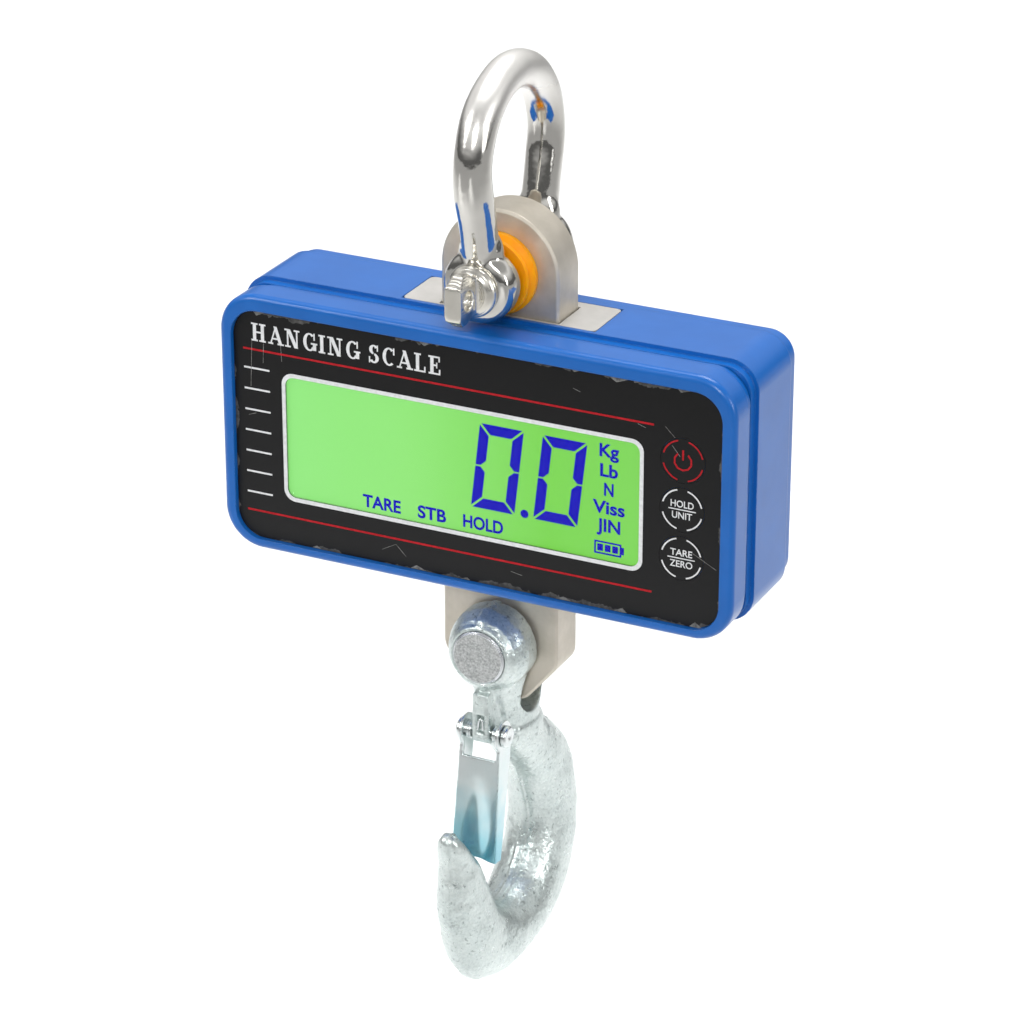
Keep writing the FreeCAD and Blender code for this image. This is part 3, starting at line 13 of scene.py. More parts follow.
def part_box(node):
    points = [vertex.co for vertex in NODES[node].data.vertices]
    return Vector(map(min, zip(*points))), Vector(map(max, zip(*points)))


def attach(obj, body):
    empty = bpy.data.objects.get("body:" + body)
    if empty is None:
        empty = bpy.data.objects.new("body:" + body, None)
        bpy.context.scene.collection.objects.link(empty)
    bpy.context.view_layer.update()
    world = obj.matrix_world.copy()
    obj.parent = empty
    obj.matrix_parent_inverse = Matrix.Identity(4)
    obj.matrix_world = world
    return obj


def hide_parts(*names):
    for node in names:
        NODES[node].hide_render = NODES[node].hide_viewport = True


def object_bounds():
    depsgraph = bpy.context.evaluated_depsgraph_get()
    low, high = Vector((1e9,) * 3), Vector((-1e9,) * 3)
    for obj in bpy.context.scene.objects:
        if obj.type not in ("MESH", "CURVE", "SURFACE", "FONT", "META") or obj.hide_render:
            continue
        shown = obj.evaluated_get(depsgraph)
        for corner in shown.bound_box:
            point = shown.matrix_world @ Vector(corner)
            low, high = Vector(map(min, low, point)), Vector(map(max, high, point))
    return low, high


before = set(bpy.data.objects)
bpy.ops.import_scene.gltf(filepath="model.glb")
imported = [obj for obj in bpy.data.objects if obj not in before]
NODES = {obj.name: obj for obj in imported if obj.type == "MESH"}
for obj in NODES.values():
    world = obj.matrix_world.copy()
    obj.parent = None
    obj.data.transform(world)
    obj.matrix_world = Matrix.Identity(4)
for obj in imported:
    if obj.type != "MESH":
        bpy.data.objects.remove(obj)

cad_low, cad_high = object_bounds()
MM = 0.001


def middle(node):
    low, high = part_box(node)
    return (low + high) / 2


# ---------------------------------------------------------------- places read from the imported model
WINDOW = middle("display_window")
WINDOW_LOW, WINDOW_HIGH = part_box("display_window")
PANEL_LOW, PANEL_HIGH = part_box("front_panel")
FACE_Y = PANEL_LOW.y
LCD_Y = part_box("lcd_glass")[0].y
FACE_X = WINDOW.x + 4.15 * MM
FACE_Z = WINDOW.z + 2.6 * MM
CLEVIS = middle("clevis_pin")
PIN = Vector((0, 0, middle("shackle_pin").z))
RIVET = middle("latch_rivet")
LEAN = math.radians(7.0)
PIN_FACE = -22.6 * MM


# ---------------------------------------------------------------- materials
def add(tree, kind, props=None, **inputs):
    """A node of that kind. A value that is a socket is linked, and any other value is set."""
    made = tree.nodes.new("ShaderNode" + kind)
    for name, value in (props or {}).items():
        setattr(made, name, value)
    for name, value in inputs.items():
        socket = made.inputs[int(name[1:])] if name[0] == "i" and name[1:].isdigit() else made.inputs[name]
        if isinstance(value, bpy.types.NodeSocket):
            tree.links.new(value, socket)
        else:
            socket.default_value = value
    return made


def maths(tree, operation, first, second=0.0, clamp=False):
    return add(tree, "Math", {"operation": operation, "use_clamp": clamp}, i0=first, i1=second).outputs[0]


def mottle(tree, place, scale, detail=3.0, stretch=None):
    """Noise from 0 to 1, with scale in features per metre."""
    where = place
    if stretch:
        where = add(tree, "Mapping", Vector=place, Scale=stretch).outputs[0]
    return add(tree, "TexNoise", Vector=where, Scale=scale, Detail=detail, Roughness=0.6).outputs["Fac"]


def ramp(tree, factor, stops):
    """A colour ramp through (position, colour) stops."""
    made = add(tree, "ValToRGB", Fac=factor)
    ends = made.color_ramp.elements
    for element, (position, colour) in zip(ends, (stops[0], stops[-1])):
        element.position = position
        element.color = (*colour, 1)
    for position, colour in stops[1:-1]:
        ends.new(position).color = (*colour, 1)
    return made.outputs["Color"]


def spread(tree, factor, low, high):
    """Maps a 0 to 1 factor on to low to high."""
    return add(tree, "MapRange", Value=factor, **{"To Min": low, "To Max": high}).outputs[0]


class Finish:
    """A material under way: its tree, its shader and the place on the object, in metres."""

    def __init__(self, name, roughness, metallic=0.0, **sockets):
        self.material = bpy.data.materials.new(name)
        self.material.use_nodes = True
        self.tree = self.material.node_tree
        self.shader = self.tree.nodes["Principled BSDF"]
        self.place = add(self.tree, "TexCoord").outputs["Object"]
        self.shader.inputs["Roughness"].default_value = roughness
        self.shader.inputs["Metallic"].default_value = metallic
        for socket, value in sockets.items():
            self.shader.inputs[socket.replace("_", " ")].default_value = value

    def link(self, socket, output):
        self.tree.links.new(output, self.shader.inputs[socket])

    def mixed_colour(self, first, second, scale, detail=3.0):
        shade = mottle(self.tree, self.place, scale, detail)
        self.link("Base Color", ramp(self.tree, shade, [(0.35, first), (0.65, second)]))

    def mixed_roughness(self, low, high, scale, detail=3.0, stretch=None):
        shade = mottle(self.tree, self.place, scale, detail, stretch)
        self.link("Roughness", spread(self.tree, shade, low, high))

    def bumps(self, layers, rounded=0.0, extra=()):
        """Bumps of (features per metre, depth in metres), then of (socket, depth). rounded softens edges."""
        normal = None
        if rounded:
            normal = add(self.tree, "Bevel", {"samples": 4}, Radius=rounded).outputs[0]
        heights = [(mottle(self.tree, self.place, scale), depth) for scale, depth in layers]
        for height, depth in [*heights, *extra]:
            bump = add(self.tree, "Bump", Strength=1.0, Distance=depth, Height=height)
            if normal:
                self.tree.links.new(normal, bump.inputs["Normal"])
            normal = bump.outputs[0]
        self.link("Normal", normal)


def blue_plastic():
    made = Finish("BluePlastic", 0.3, Specular_IOR_Level=0.35, Coat_Weight=0.25, Coat_Roughness=0.1)
    made.mixed_colour((0.003, 0.108, 0.42), (0.005, 0.124, 0.47), 40)
    made.mixed_roughness(0.26, 0.32, 150)
    made.bumps([(90, 0.00003)], rounded=0.0006)
    return made.material


def black_film():
    """Satin film, worn grey in small chips along its edge, a little lighter towards its foot."""
    made = Finish("BlackFilm", 0.42, Specular_IOR_Level=0.25)
    tree = made.tree
    parts = add(tree, "SeparateXYZ", Vector=made.place)
    height = maths(tree, "SUBTRACT", parts.outputs["Z"], PANEL_LOW.z)
    share = maths(tree, "DIVIDE", height, PANEL_HIGH.z - PANEL_LOW.z, clamp=True)
    shade = ramp(tree, share, [(0.0, (0.010, 0.010, 0.0105)), (1.0, (0.003, 0.003, 0.0033))])
    middle_x, middle_z = (PANEL_LOW.x + PANEL_HIGH.x) / 2, (PANEL_LOW.z + PANEL_HIGH.z) / 2
    across = maths(tree, "ABSOLUTE", maths(tree, "SUBTRACT", parts.outputs["X"], middle_x))
    up = maths(tree, "ABSOLUTE", maths(tree, "SUBTRACT", parts.outputs["Z"], middle_z))
    side_gap = maths(tree, "SUBTRACT", (PANEL_HIGH.x - PANEL_LOW.x) / 2, across)
    foot_gap = maths(tree, "SUBTRACT", (PANEL_HIGH.z - PANEL_LOW.z) / 2, up)
    gap = maths(tree, "MINIMUM", side_gap, foot_gap)
    reach = spread(tree, mottle(tree, made.place, 110, 5.0), -4.2 * MM, 5.2 * MM)
    chipped = maths(tree, "LESS_THAN", gap, reach)
    grime = mottle(tree, made.place, 700, 4.0)
    worn = ramp(tree, grime, [(0.3, (0.035, 0.034, 0.032)), (0.7, (0.11, 0.108, 0.104))])
    mixed = add(tree, "MixRGB", Fac=chipped, Color1=shade, Color2=worn)
    made.link("Base Color", mixed.outputs[0])
    made.mixed_roughness(0.36, 0.5, 500)
    made.bumps([(2200, 0.000008)], rounded=0.00015)
    return made.material


def ink(name, first, second):
    made = Finish(name, 0.45, Specular_IOR_Level=0.12)
    made.mixed_colour(first, second, 900, 4.0)
    made.mixed_roughness(0.38, 0.55, 1500)
    made.bumps([(2500, 0.000004)])
    return made.material


def display_green():
    """The lit liquid crystal layer: pale green at the left and fuller green at the right."""
    made = Finish("DisplayGreen", 0.5)
    tree = made.tree
    parts = add(tree, "SeparateXYZ", Vector=made.place)
    run = maths(tree, "SUBTRACT", parts.outputs["X"], WINDOW_LOW.x)
    share = maths(tree, "DIVIDE", run, WINDOW_HIGH.x - WINDOW_LOW.x, clamp=True)
    bands = mottle(tree, made.place, 60, 1.0, (1, 0.02, 0.02))
    share = maths(tree, "ADD", share, spread(tree, bands, -0.06, 0.06), clamp=True)
    glow = ramp(tree, share, [(0.0, (0.30, 0.86, 0.22)), (0.35, (0.29, 0.84, 0.19)),
                              (0.75, (0.20, 0.70, 0.075)), (1.0, (0.215, 0.71, 0.095))])
    made.link("Base Color", add(tree, "MixRGB", Fac=0.75, Color1=glow, Color2=(0, 0, 0, 1)).outputs[0])
    made.link("Emission Color", glow)
    made.shader.inputs["Emission Strength"].default_value = 0.73
    return made.material


def clear_acrylic():
    """Clear with a faint reflection, and next to no colour of its own."""
    made = bpy.data.materials.new("ClearAcrylic")
    made.use_nodes = True
    tree = made.node_tree
    tree.nodes.remove(tree.nodes["Principled BSDF"])
    place = add(tree, "TexCoord").outputs["Object"]
    haze = spread(tree, mottle(tree, place, 250), 0.03, 0.08)
    gloss = add(tree, "BsdfGlossy", Roughness=haze)
    through = add(tree, "BsdfTransparent")
    share = maths(tree, "MULTIPLY", add(tree, "Fresnel", IOR=1.3).outputs[0], 0.4)
    mixed = add(tree, "MixShader", Fac=share, i1=through.outputs[0], i2=gloss.outputs[0])
    tree.links.new(mixed.outputs[0], tree.nodes["Material Output"].inputs["Surface"])
    return made


def polished_steel():
    """Polished bar, rubbed to satin over the crown where a hook sits."""
    made = Finish("PolishedSteel", 0.07, 1.0)
    tree = made.tree
    height = add(tree, "SeparateXYZ", Vector=made.place).outputs["Z"]
    crown = add(tree, "MapRange", {"interpolation_type": "SMOOTHSTEP"}, Value=height,
                **{"From Min": -15 * MM, "From Max": 8 * MM}).outputs[0]
    cloud = mottle(tree, made.place, 60)
    steel = ramp(tree, cloud, [(0.35, (0.62, 0.605, 0.57)), (0.65, (0.70, 0.685, 0.645))])
    mixed = add(tree, "MixRGB", Fac=crown, Color1=steel, Color2=(0.90, 0.885, 0.85, 1))
    made.link("Base Color", mixed.outputs[0])
    polish = spread(tree, mottle(tree, made.place, 500, 4.0), 0.03, 0.11)
    made.link("Roughness", maths(tree, "ADD", maths(tree, "MULTIPLY", crown, 0.36), polish))
    made.bumps([(90, 0.0002), (900, 0.000012)], rounded=0.0004)
    return made.material


def turned_steel():
    """Satin steel with the fine rings that a lathe leaves round the pin's axis."""
    made = Finish("TurnedSteel", 0.25, 1.0)
    tree = made.tree
    made.mixed_colour((0.68, 0.655, 0.59), (0.80, 0.775, 0.71), 150)
    made.mixed_roughness(0.16, 0.32, 600)
    off = add(tree, "VectorMath", {"operation": "SUBTRACT"}, i0=made.place, i1=PIN).outputs[0]
    rings = add(tree, "TexWave", {"wave_type": "RINGS", "rings_direction": "Y"}, Vector=off, Scale=520.0)
    made.bumps([(900, 0.000012)], rounded=0.0004, extra=[(rings.outputs["Fac"], 0.00002)])
    return made.material


def nickel_plate():
    made = Finish("NickelPlate", 0.36, 0.7)
    made.mixed_colour((0.57, 0.525, 0.445), (0.66, 0.61, 0.525), 120, 4.0)
    made.mixed_roughness(0.38, 0.52, 700, 4.0)
    made.bumps([(1800, 0.00002), (260, 0.00003)], rounded=0.0005)
    return made.material


def forged_zinc():
    """Rough forging under bluish zinc plate, with fine grit and a few darker pits."""
    made = Finish("ForgedZinc", 0.33, 0.82)
    tree = made.tree
    grit = mottle(tree, made.place, 1300, 5.0)
    cloud = mottle(tree, made.place, 90, 3.0)
    tone = maths(tree, "ADD", maths(tree, "MULTIPLY", grit, 0.55), maths(tree, "MULTIPLY", cloud, 0.45))
    zinc = ramp(tree, tone, [(0.31, (0.36, 0.41, 0.405)), (0.43, (0.58, 0.65, 0.635)),
                             (0.62, (0.72, 0.785, 0.765))])
    pits = mottle(tree, made.place, 620, 2.0)
    pitted = ramp(tree, pits, [(0.30, (0.58, 0.60, 0.60)), (0.37, (1, 1, 1)), (1.0, (1, 1, 1))])
    mixed = add(tree, "MixRGB", {"blend_type": "MULTIPLY"}, Fac=1.0, Color1=zinc, Color2=pitted)
    made.link("Base Color", mixed.outputs[0])
    made.mixed_roughness(0.16, 0.46, 260, 5.0)
    made.bumps([(160, 0.0004), (520, 0.0002), (1500, 0.00010)])
    return made.material


def bright_zinc():
    """Bright zinc, silver near the rivet and turning a darker blue-green towards the latch's tip."""
    made = Finish("BrightZinc", 0.2, 1.0)
    tree = made.tree
    parts = add(tree, "SeparateXYZ", Vector=made.place)
    fall = maths(tree, "DIVIDE", maths(tree, "SUBTRACT", RIVET.z, parts.outputs["Z"]), 40 * MM)
    cloud = spread(tree, mottle(tree, made.place, 90, 2.0), -0.35, 0.35)
    share = maths(tree, "ADD", fall, cloud, clamp=True)
    made.link("Base Color", ramp(tree, share, [(0.0, (0.76, 0.80, 0.80)), (0.35, (0.71, 0.80, 0.80)),
                                               (0.8, (0.33, 0.62, 0.70)), (1.0, (0.28, 0.56, 0.66))]))
    made.mixed_roughness(0.13, 0.30, 1500, 4.0, (1, 0.04, 0.04))
    made.bumps([(110, 0.00012), (1200, 0.00001)])
    return made.material


def blasted_pin():
    """Grey grit-blasted ends inside a bright turned rim."""
    made = Finish("BlastedPin", 0.5, 0.85)
    tree = made.tree
    off = add(tree, "VectorMath", {"operation": "SUBTRACT"}, i0=made.place, i1=CLEVIS).outputs[0]
    flat = add(tree, "VectorMath", {"operation": "MULTIPLY"}, i0=off, i1=(1, 0, 1)).outputs[0]
    radius = add(tree, "VectorMath", {"operation": "LENGTH"}, i0=flat).outputs["Value"]
    rim = maths(tree, "GREATER_THAN", radius, 7.5 * MM)
    grit = mottle(tree, made.place, 1700, 4.0)
    grey = ramp(tree, grit, [(0.35, (0.36, 0.375, 0.375)), (0.65, (0.66, 0.675, 0.67))])
    made.link("Base Color", add(tree, "MixRGB", Fac=rim, Color1=grey, Color2=(0.7, 0.72, 0.74, 1)).outputs[0])
    made.link("Roughness", spread(tree, rim, 0.62, 0.2))
    made.bumps([(1700, 0.00008)])
    return made.material


def pale_plate():
    made = Finish("PalePlate", 0.5, 0.15)
    made.mixed_colour((0.47, 0.46, 0.435), (0.52, 0.505, 0.485), 160)
    made.mixed_roughness(0.42, 0.55, 900)
    made.bumps([(1600, 0.000008)], rounded=0.0003)
    return made.material


def orange_nylon():
    made = Finish("OrangeNylon", 0.28, Subsurface_Weight=0.3, Specular_IOR_Level=0.3)
    made.shader.inputs["Subsurface Radius"].default_value = (0.003, 0.001, 0.0003)
    made.shader.inputs["Subsurface Scale"].default_value = 1.0
    made.mixed_colour((0.95, 0.33, 0.0), (1.0, 0.40, 0.0), 150)
    made.mixed_roughness(0.24, 0.36, 800)
    made.bumps([(1400, 0.00001)], rounded=0.0004)
    return made.material


def hidden(name, first, second, roughness, metallic=0.0, scale=500):
    """A finish for the pieces inside the case, with the grain that its scale says."""
    made = Finish(name, roughness, metallic)
    made.mixed_colour(first, second, scale, 4.0)
    made.mixed_roughness(roughness - 0.08, roughness + 0.08, scale)
    made.bumps([(scale * 2, 0.00001)])
    return made.material


def wear(mesh, material):
    """Gives every face of a mesh that finish."""
    mesh.materials.clear()
    mesh.materials.append(material)
    for face in mesh.polygons:
        face.material_index = 0


BLUE, FILM, ORANGE, PALE = blue_plastic(), black_film(), orange_nylon(), pale_plate()
STEEL, FORGED, ZINC = polished_steel(), forged_zinc(), bright_zinc()
WHITE_INK = ink("WhiteInk", (0.66, 0.67, 0.68), (0.78, 0.79, 0.80))
RED_INK = ink("RedInk", (0.38, 0.010, 0.016), (0.48, 0.016, 0.024))
SEGMENT_INK = ink("SegmentInk", (0.005, 0.002, 0.52), (0.008, 0.004, 0.60))
FINISHES = {
    "front_shell": BLUE, "rear_shell": BLUE, "battery_door": BLUE,
    "front_panel": FILM, "power_key": FILM, "hold_unit_key": FILM, "tare_zero_key": FILM,
    "top_plate": PALE, "bottom_plate": PALE, "bush_front": ORANGE, "bush_rear": ORANGE,
    "load_cell": nickel_plate(), "clevis_pin": blasted_pin(),
    "display_window": clear_acrylic(), "lcd_glass": display_green(),
    "lcd_backlight": hidden("LightGuide", (0.55, 0.8, 0.5), (0.6, 0.85, 0.55), 0.4),
    "lcd_frame": hidden("WhiteMoulding", (0.7, 0.7, 0.68), (0.76, 0.76, 0.74), 0.5),
    "sensor_plug": hidden("PlugMoulding", (0.7, 0.68, 0.62), (0.76, 0.74, 0.68), 0.5),
    "main_pcb": hidden("SolderMask", (0.01, 0.10, 0.035), (0.02, 0.16, 0.06), 0.35, scale=900),
    "pcb_chips": hidden("ChipEpoxy", (0.012, 0.012, 0.013), (0.02, 0.02, 0.022), 0.6),
    "buzzer": hidden("BuzzerCan", (0.012, 0.012, 0.013), (0.02, 0.02, 0.022), 0.5),
    "key_switches": hidden("SwitchSteel", (0.4, 0.4, 0.4), (0.5, 0.5, 0.5), 0.35, 0.9),
    "case_screws": hidden("ScrewZinc", (0.45, 0.45, 0.46), (0.58, 0.58, 0.6), 0.32, 1.0, 700),
    "cell_screws": hidden("BoltZinc", (0.45, 0.45, 0.46), (0.58, 0.58, 0.6), 0.32, 1.0, 700),
    "pcb_screws": hidden("BoardScrewZinc", (0.45, 0.45, 0.46), (0.58, 0.58, 0.6), 0.32, 1.0, 700),
    "battery_cells": hidden("CellSleeve", (0.02, 0.02, 0.022), (0.04, 0.04, 0.045), 0.3),
    "battery_contacts": hidden("ContactNickel", (0.6, 0.59, 0.55), (0.7, 0.69, 0.65), 0.3, 1.0),
    "battery_springs": hidden("ContactSpring", (0.6, 0.59, 0.55), (0.7, 0.69, 0.65), 0.3, 1.0),
    "strain_gauges": hidden("GaugeFilm", (0.5, 0.28, 0.06), (0.6, 0.36, 0.1), 0.4),
    "gauge_potting": hidden("Silicone", (0.65, 0.65, 0.62), (0.72, 0.72, 0.7), 0.55),
    "shell_gasket": hidden("GasketRubber", (0.01, 0.01, 0.01), (0.02, 0.02, 0.02), 0.7),
    "clevis_bush": hidden("Bronze", (0.36, 0.22, 0.07), (0.44, 0.28, 0.1), 0.4, 1.0),
    "sensor_lead": hidden("GreyLead", (0.15, 0.15, 0.16), (0.2, 0.2, 0.21), 0.5),
    "battery_leads": hidden("RedLead", (0.3, 0.01, 0.01), (0.4, 0.02, 0.02), 0.5),
}
for node, finish in FINISHES.items():
    wear(NODES[node].data, finish)


# ---------------------------------------------------------------- mesh helpers
def placed(name, data):
    """An object of that name in the scene."""
    made = bpy.data.objects.new(name, data)
    bpy.context.scene.collection.objects.link(made)
    return made


def taken(holder):
    """The mesh that an object comes to with its modifiers or thickness. The object itself goes."""
    mesh = bpy.data.meshes.new_from_object(holder.evaluated_get(bpy.context.evaluated_depsgraph_get()))
    bpy.data.objects.remove(holder)
    return mesh


def mesh_of(name, work):
    """The mesh that a bmesh holds. The bmesh itself goes."""
    mesh = bpy.data.meshes.new(name)
    work.to_mesh(mesh)
    work.free()
    return mesh


def piece_from(name, mesh, body, material, replaces=(), smooth=True):
    """A piece that rides on a body, with its finish."""
    piece = placed(name, mesh)
    wear(mesh, material)
    for face in mesh.polygons:
        face.use_smooth = smooth
    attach(piece, body)
    if replaces:
        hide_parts(*replaces)


def skinned(parts, voxel, passes):
    """One closed mesh round overlapping closed meshes, remeshed at voxel metres and smoothed."""
    work = bmesh.new()
    for part in parts:
        work.from_mesh(part)
    blank = placed("Blank", mesh_of("Blank", work))
    remesh = blank.modifiers.new("Remesh", "REMESH")
    remesh.mode = "VOXEL"
    remesh.voxel_size = voxel
    smooth = blank.modifiers.new("Smooth", "SMOOTH")
    smooth.iterations = passes
    smooth.factor = 0.5
    return taken(blank)


def ball(centre, radii):
    """A closed ellipsoid."""
    work = bmesh.new()
    bmesh.ops.create_icosphere(work, subdivisions=4, radius=1.0)
    shape = Matrix.Translation(centre) @ Matrix.Diagonal((*radii, 1))
    bmesh.ops.transform(work, matrix=shape, verts=work.verts)
    return mesh_of("Ball", work)


def displaced(mesh, move):
    """Moves each vertex by what move(place, normal) returns."""
    shifts = [move(v.co, v.normal) for v in mesh.vertices]
    for vertex, shift in zip(mesh.vertices, shifts):
        vertex.co += shift
    mesh.update()
    return mesh


def step(value, low, high):
    """0 below low and 1 above high, with a smooth change between."""
    share = min(max((value - low) / (high - low), 0), 1)
    return share * share * (3 - 2 * share)


# ---------------------------------------------------------------- shackle
def worn_tab(place, normal):
    """Thins the tab of the screw pin to its two ends, and rounds its nose."""
    ahead = step(PIN_FACE - place.y, 3.6 * MM, 6.0 * MM)
    off = abs(place.z - PIN.z)
    thin = 0.45 * step(off, 3.0 * MM, 9.0 * MM)
    nose = 1.6 * MM * step(off, 4.0 * MM, 9.0 * MM) * step(PIN_FACE - place.y, 7.0 * MM, 13.0 * MM)
    return Vector((-place.x * thin, nose, 0)) * ahead


def shackle():
    """The bow, with its legs swelling into the eyes, and the screw pin with its worn paddle."""
    shoulders = []
    for side in (-1, 1):
        root = Vector((0, side * 17.6 * MM, PIN.z + 9.0 * MM))
        shoulders.append(ball(root, (6.8 * MM, 5.0 * MM, 8.5 * MM)))
    bow = skinned([NODES["shackle_bow"].data, *shoulders], 0.5 * MM, 9)
    bow = displaced(bow, lambda place, normal: normal * (noise.noise(place * 95) * 0.0003))
    piece_from("shackle_bow_polished", bow, "shackle", STEEL, ["shackle_bow"])
    pin = displaced(skinned([NODES["shackle_pin"].data], 0.35 * MM, 6), worn_tab)
    piece_from("shackle_pin_turned", pin, "shackle", turned_steel(), ["shackle_pin"])


# ---------------------------------------------------------------- hook and latch
def domed(place, normal):
    """Rounds the hook's cut end into a nub, along the way that the end points."""
    way = Vector((0, 0.454, 0.891))
    root = CLEVIS + Vector((0, -41.5, -53.7)) * MM
    off = place - root
    ahead = off.dot(way)
    if ahead < 0 or off.length > 9 * MM:
        return Vector()
    longer = ahead * 1.3
    slim = math.sqrt(max(1 - (longer / (6.1 * MM)) ** 2, 0.02))
    across = off - way * ahead
    return way * (longer - ahead) + across * (slim - 1)


def forged(place, normal):
    """Hammer-soft hollows, grit, and the flat flash band left along the parting plane x = 0."""
    from_pin = math.hypot(place.x, place.z - CLEVIS.z)
    bored = step(from_pin, 9 * MM, 10.5 * MM) if abs(normal.y) > 0.5 or from_pin < 11 * MM else 1.0
    soft = (noise.noise(place * 110) * 0.26 + noise.noise(place * 330) * 0.13 - 0.32) * MM
    fine = noise.noise(place * 900) * 0.07 * MM
    sideways = 1 - step(abs(normal.x), 0.45, 0.8)
    wander = noise.noise(place * 60) * 0.8 * MM
    band = (1 - step(abs(place.x + wander), 1.2 * MM, 1.5 * MM)) * sideways * 0.42 * MM
    near_latch = step((place - RIVET).length, 7 * MM, 11 * MM)
    lug = 1 - near_latch
    up = place.z - RIVET.z
    tall = step(up, 0.6 * MM, 1.2 * MM) * (1 - step(up, 6.2 * MM, 6.8 * MM))
    wide = 1 - step(abs(place.x), 0.9 * MM, 1.3 * MM)
    sunk = Vector((0, 2.2 * MM * tall * wide, 0)) if normal.y < -0.5 and place.y < RIVET.y else Vector()
    return normal * ((soft + fine + band) * bored * near_latch + fine * lug * 0.4) + sunk


def hook():
    blank = displaced(skinned([NODES["clevis_hook"].data], 0.42 * MM, 9), domed)
    piece_from("hook_forging", displaced(blank, forged), "hook", FORGED, ["clevis_hook"])
    rivet = skinned([NODES["latch_rivet"].data], 0.2 * MM, 2)
    piece_from("latch_rivet_heads", rivet, "hook", ZINC, ["latch_rivet"])


def stamped(place, normal):
    """The pressed hollow in the latch's plate: a teardrop that widens to the tip."""
    local = place - RIVET
    down = -local.z * math.cos(LEAN) - local.y * math.sin(LEAN)
    front = local.y * math.cos(LEAN) - local.z * math.sin(LEAN)
    half = 2.2 * MM + 1.6 * MM * step(down, 12 * MM, 39 * MM)
    inside = math.exp(-((local.x - 0.3 * MM) / half) ** 2)
    along = step(down, 11 * MM, 33 * MM)
    plate = 1 - step(front, 0.4 * MM, 1.6 * MM)
    return Vector((0, 1.6 * MM * inside * along * plate, 0))


def latch():
    blank = skinned([NODES["latch"].data], 0.24 * MM, 3)
    piece_from("latch_sheet", displaced(blank, stamped), "latch", ZINC, ["latch"])
    coils = bpy.data.curves.new("Coils", "CURVE")
    coils.dimensions = "3D"
    coils.bevel_depth = 0.42 * MM
    coils.bevel_resolution = 3
    for side in (-1, 1):
        turns, points_per_turn, radius = 2.6, 16, 2.35 * MM
        count = int(turns * points_per_turn)
        line = coils.splines.new("POLY")
        line.points.add(count - 1)
        for index, point in enumerate(line.points):
            angle = 2 * math.pi * index / points_per_turn
            x = side * (3.45 * MM + 0.045 * MM * index)
            point.co = (x, RIVET.y + radius * math.cos(angle), RIVET.z + radius * math.sin(angle), 1)
    bridge = coils.splines.new("POLY")
    loop = [(-3.3, -2.0, 1.5), (-0.75, -2.6, 2.0), (-0.7, -2.5, 4.6), (0.0, -2.4, 5.4), (0.7, -2.5, 4.6),
            (0.75, -2.6, 2.0), (3.3, -2.0, 1.5)]
    bridge.points.add(len(loop) - 1)
    for point, (x, y, z) in zip(bridge.points, loop):
        point.co = (x * MM, RIVET.y + y * MM, RIVET.z + z * MM, 1)
    wire = taken(placed("Coils", coils))
    piece_from("latch_spring_coils", wire, "latch", ZINC, ["latch_spring"])


# ---------------------------------------------------------------- printed marks
INK = 0.05 * MM  # how far a mark stands out of its face
LAYER = 0.0015 * MM  # from one film's level to the next
LEVELS = 16
SINK = 0.01 * MM  # how far a mark's back lies inside its face
CAPITAL = 0.69  # height of the font's capitals at size 1


def arc(centre_x, centre_z, radius, start, end, count=8):
    """Points along an arc, with angles in degrees."""
    angles = [math.radians(start + (end - start) * i / count) for i in range(count + 1)]
    return [(centre_x + radius * math.cos(a), centre_z + radius * math.sin(a)) for a in angles]


def rounded(left, right, low, high, radius):
    """The outline of a rectangle with round corners."""
    corners = [(right - radius, high - radius, 0), (left + radius, high - radius, 90),
               (left + radius, low + radius, 180), (right - radius, low + radius, 270)]
    return [p for x, z, start in corners for p in arc(x, z, radius, start, start + 90)]


def bar(left, right, low, high):
    return [(right, high), (left, high), (left, low), (right, low)]


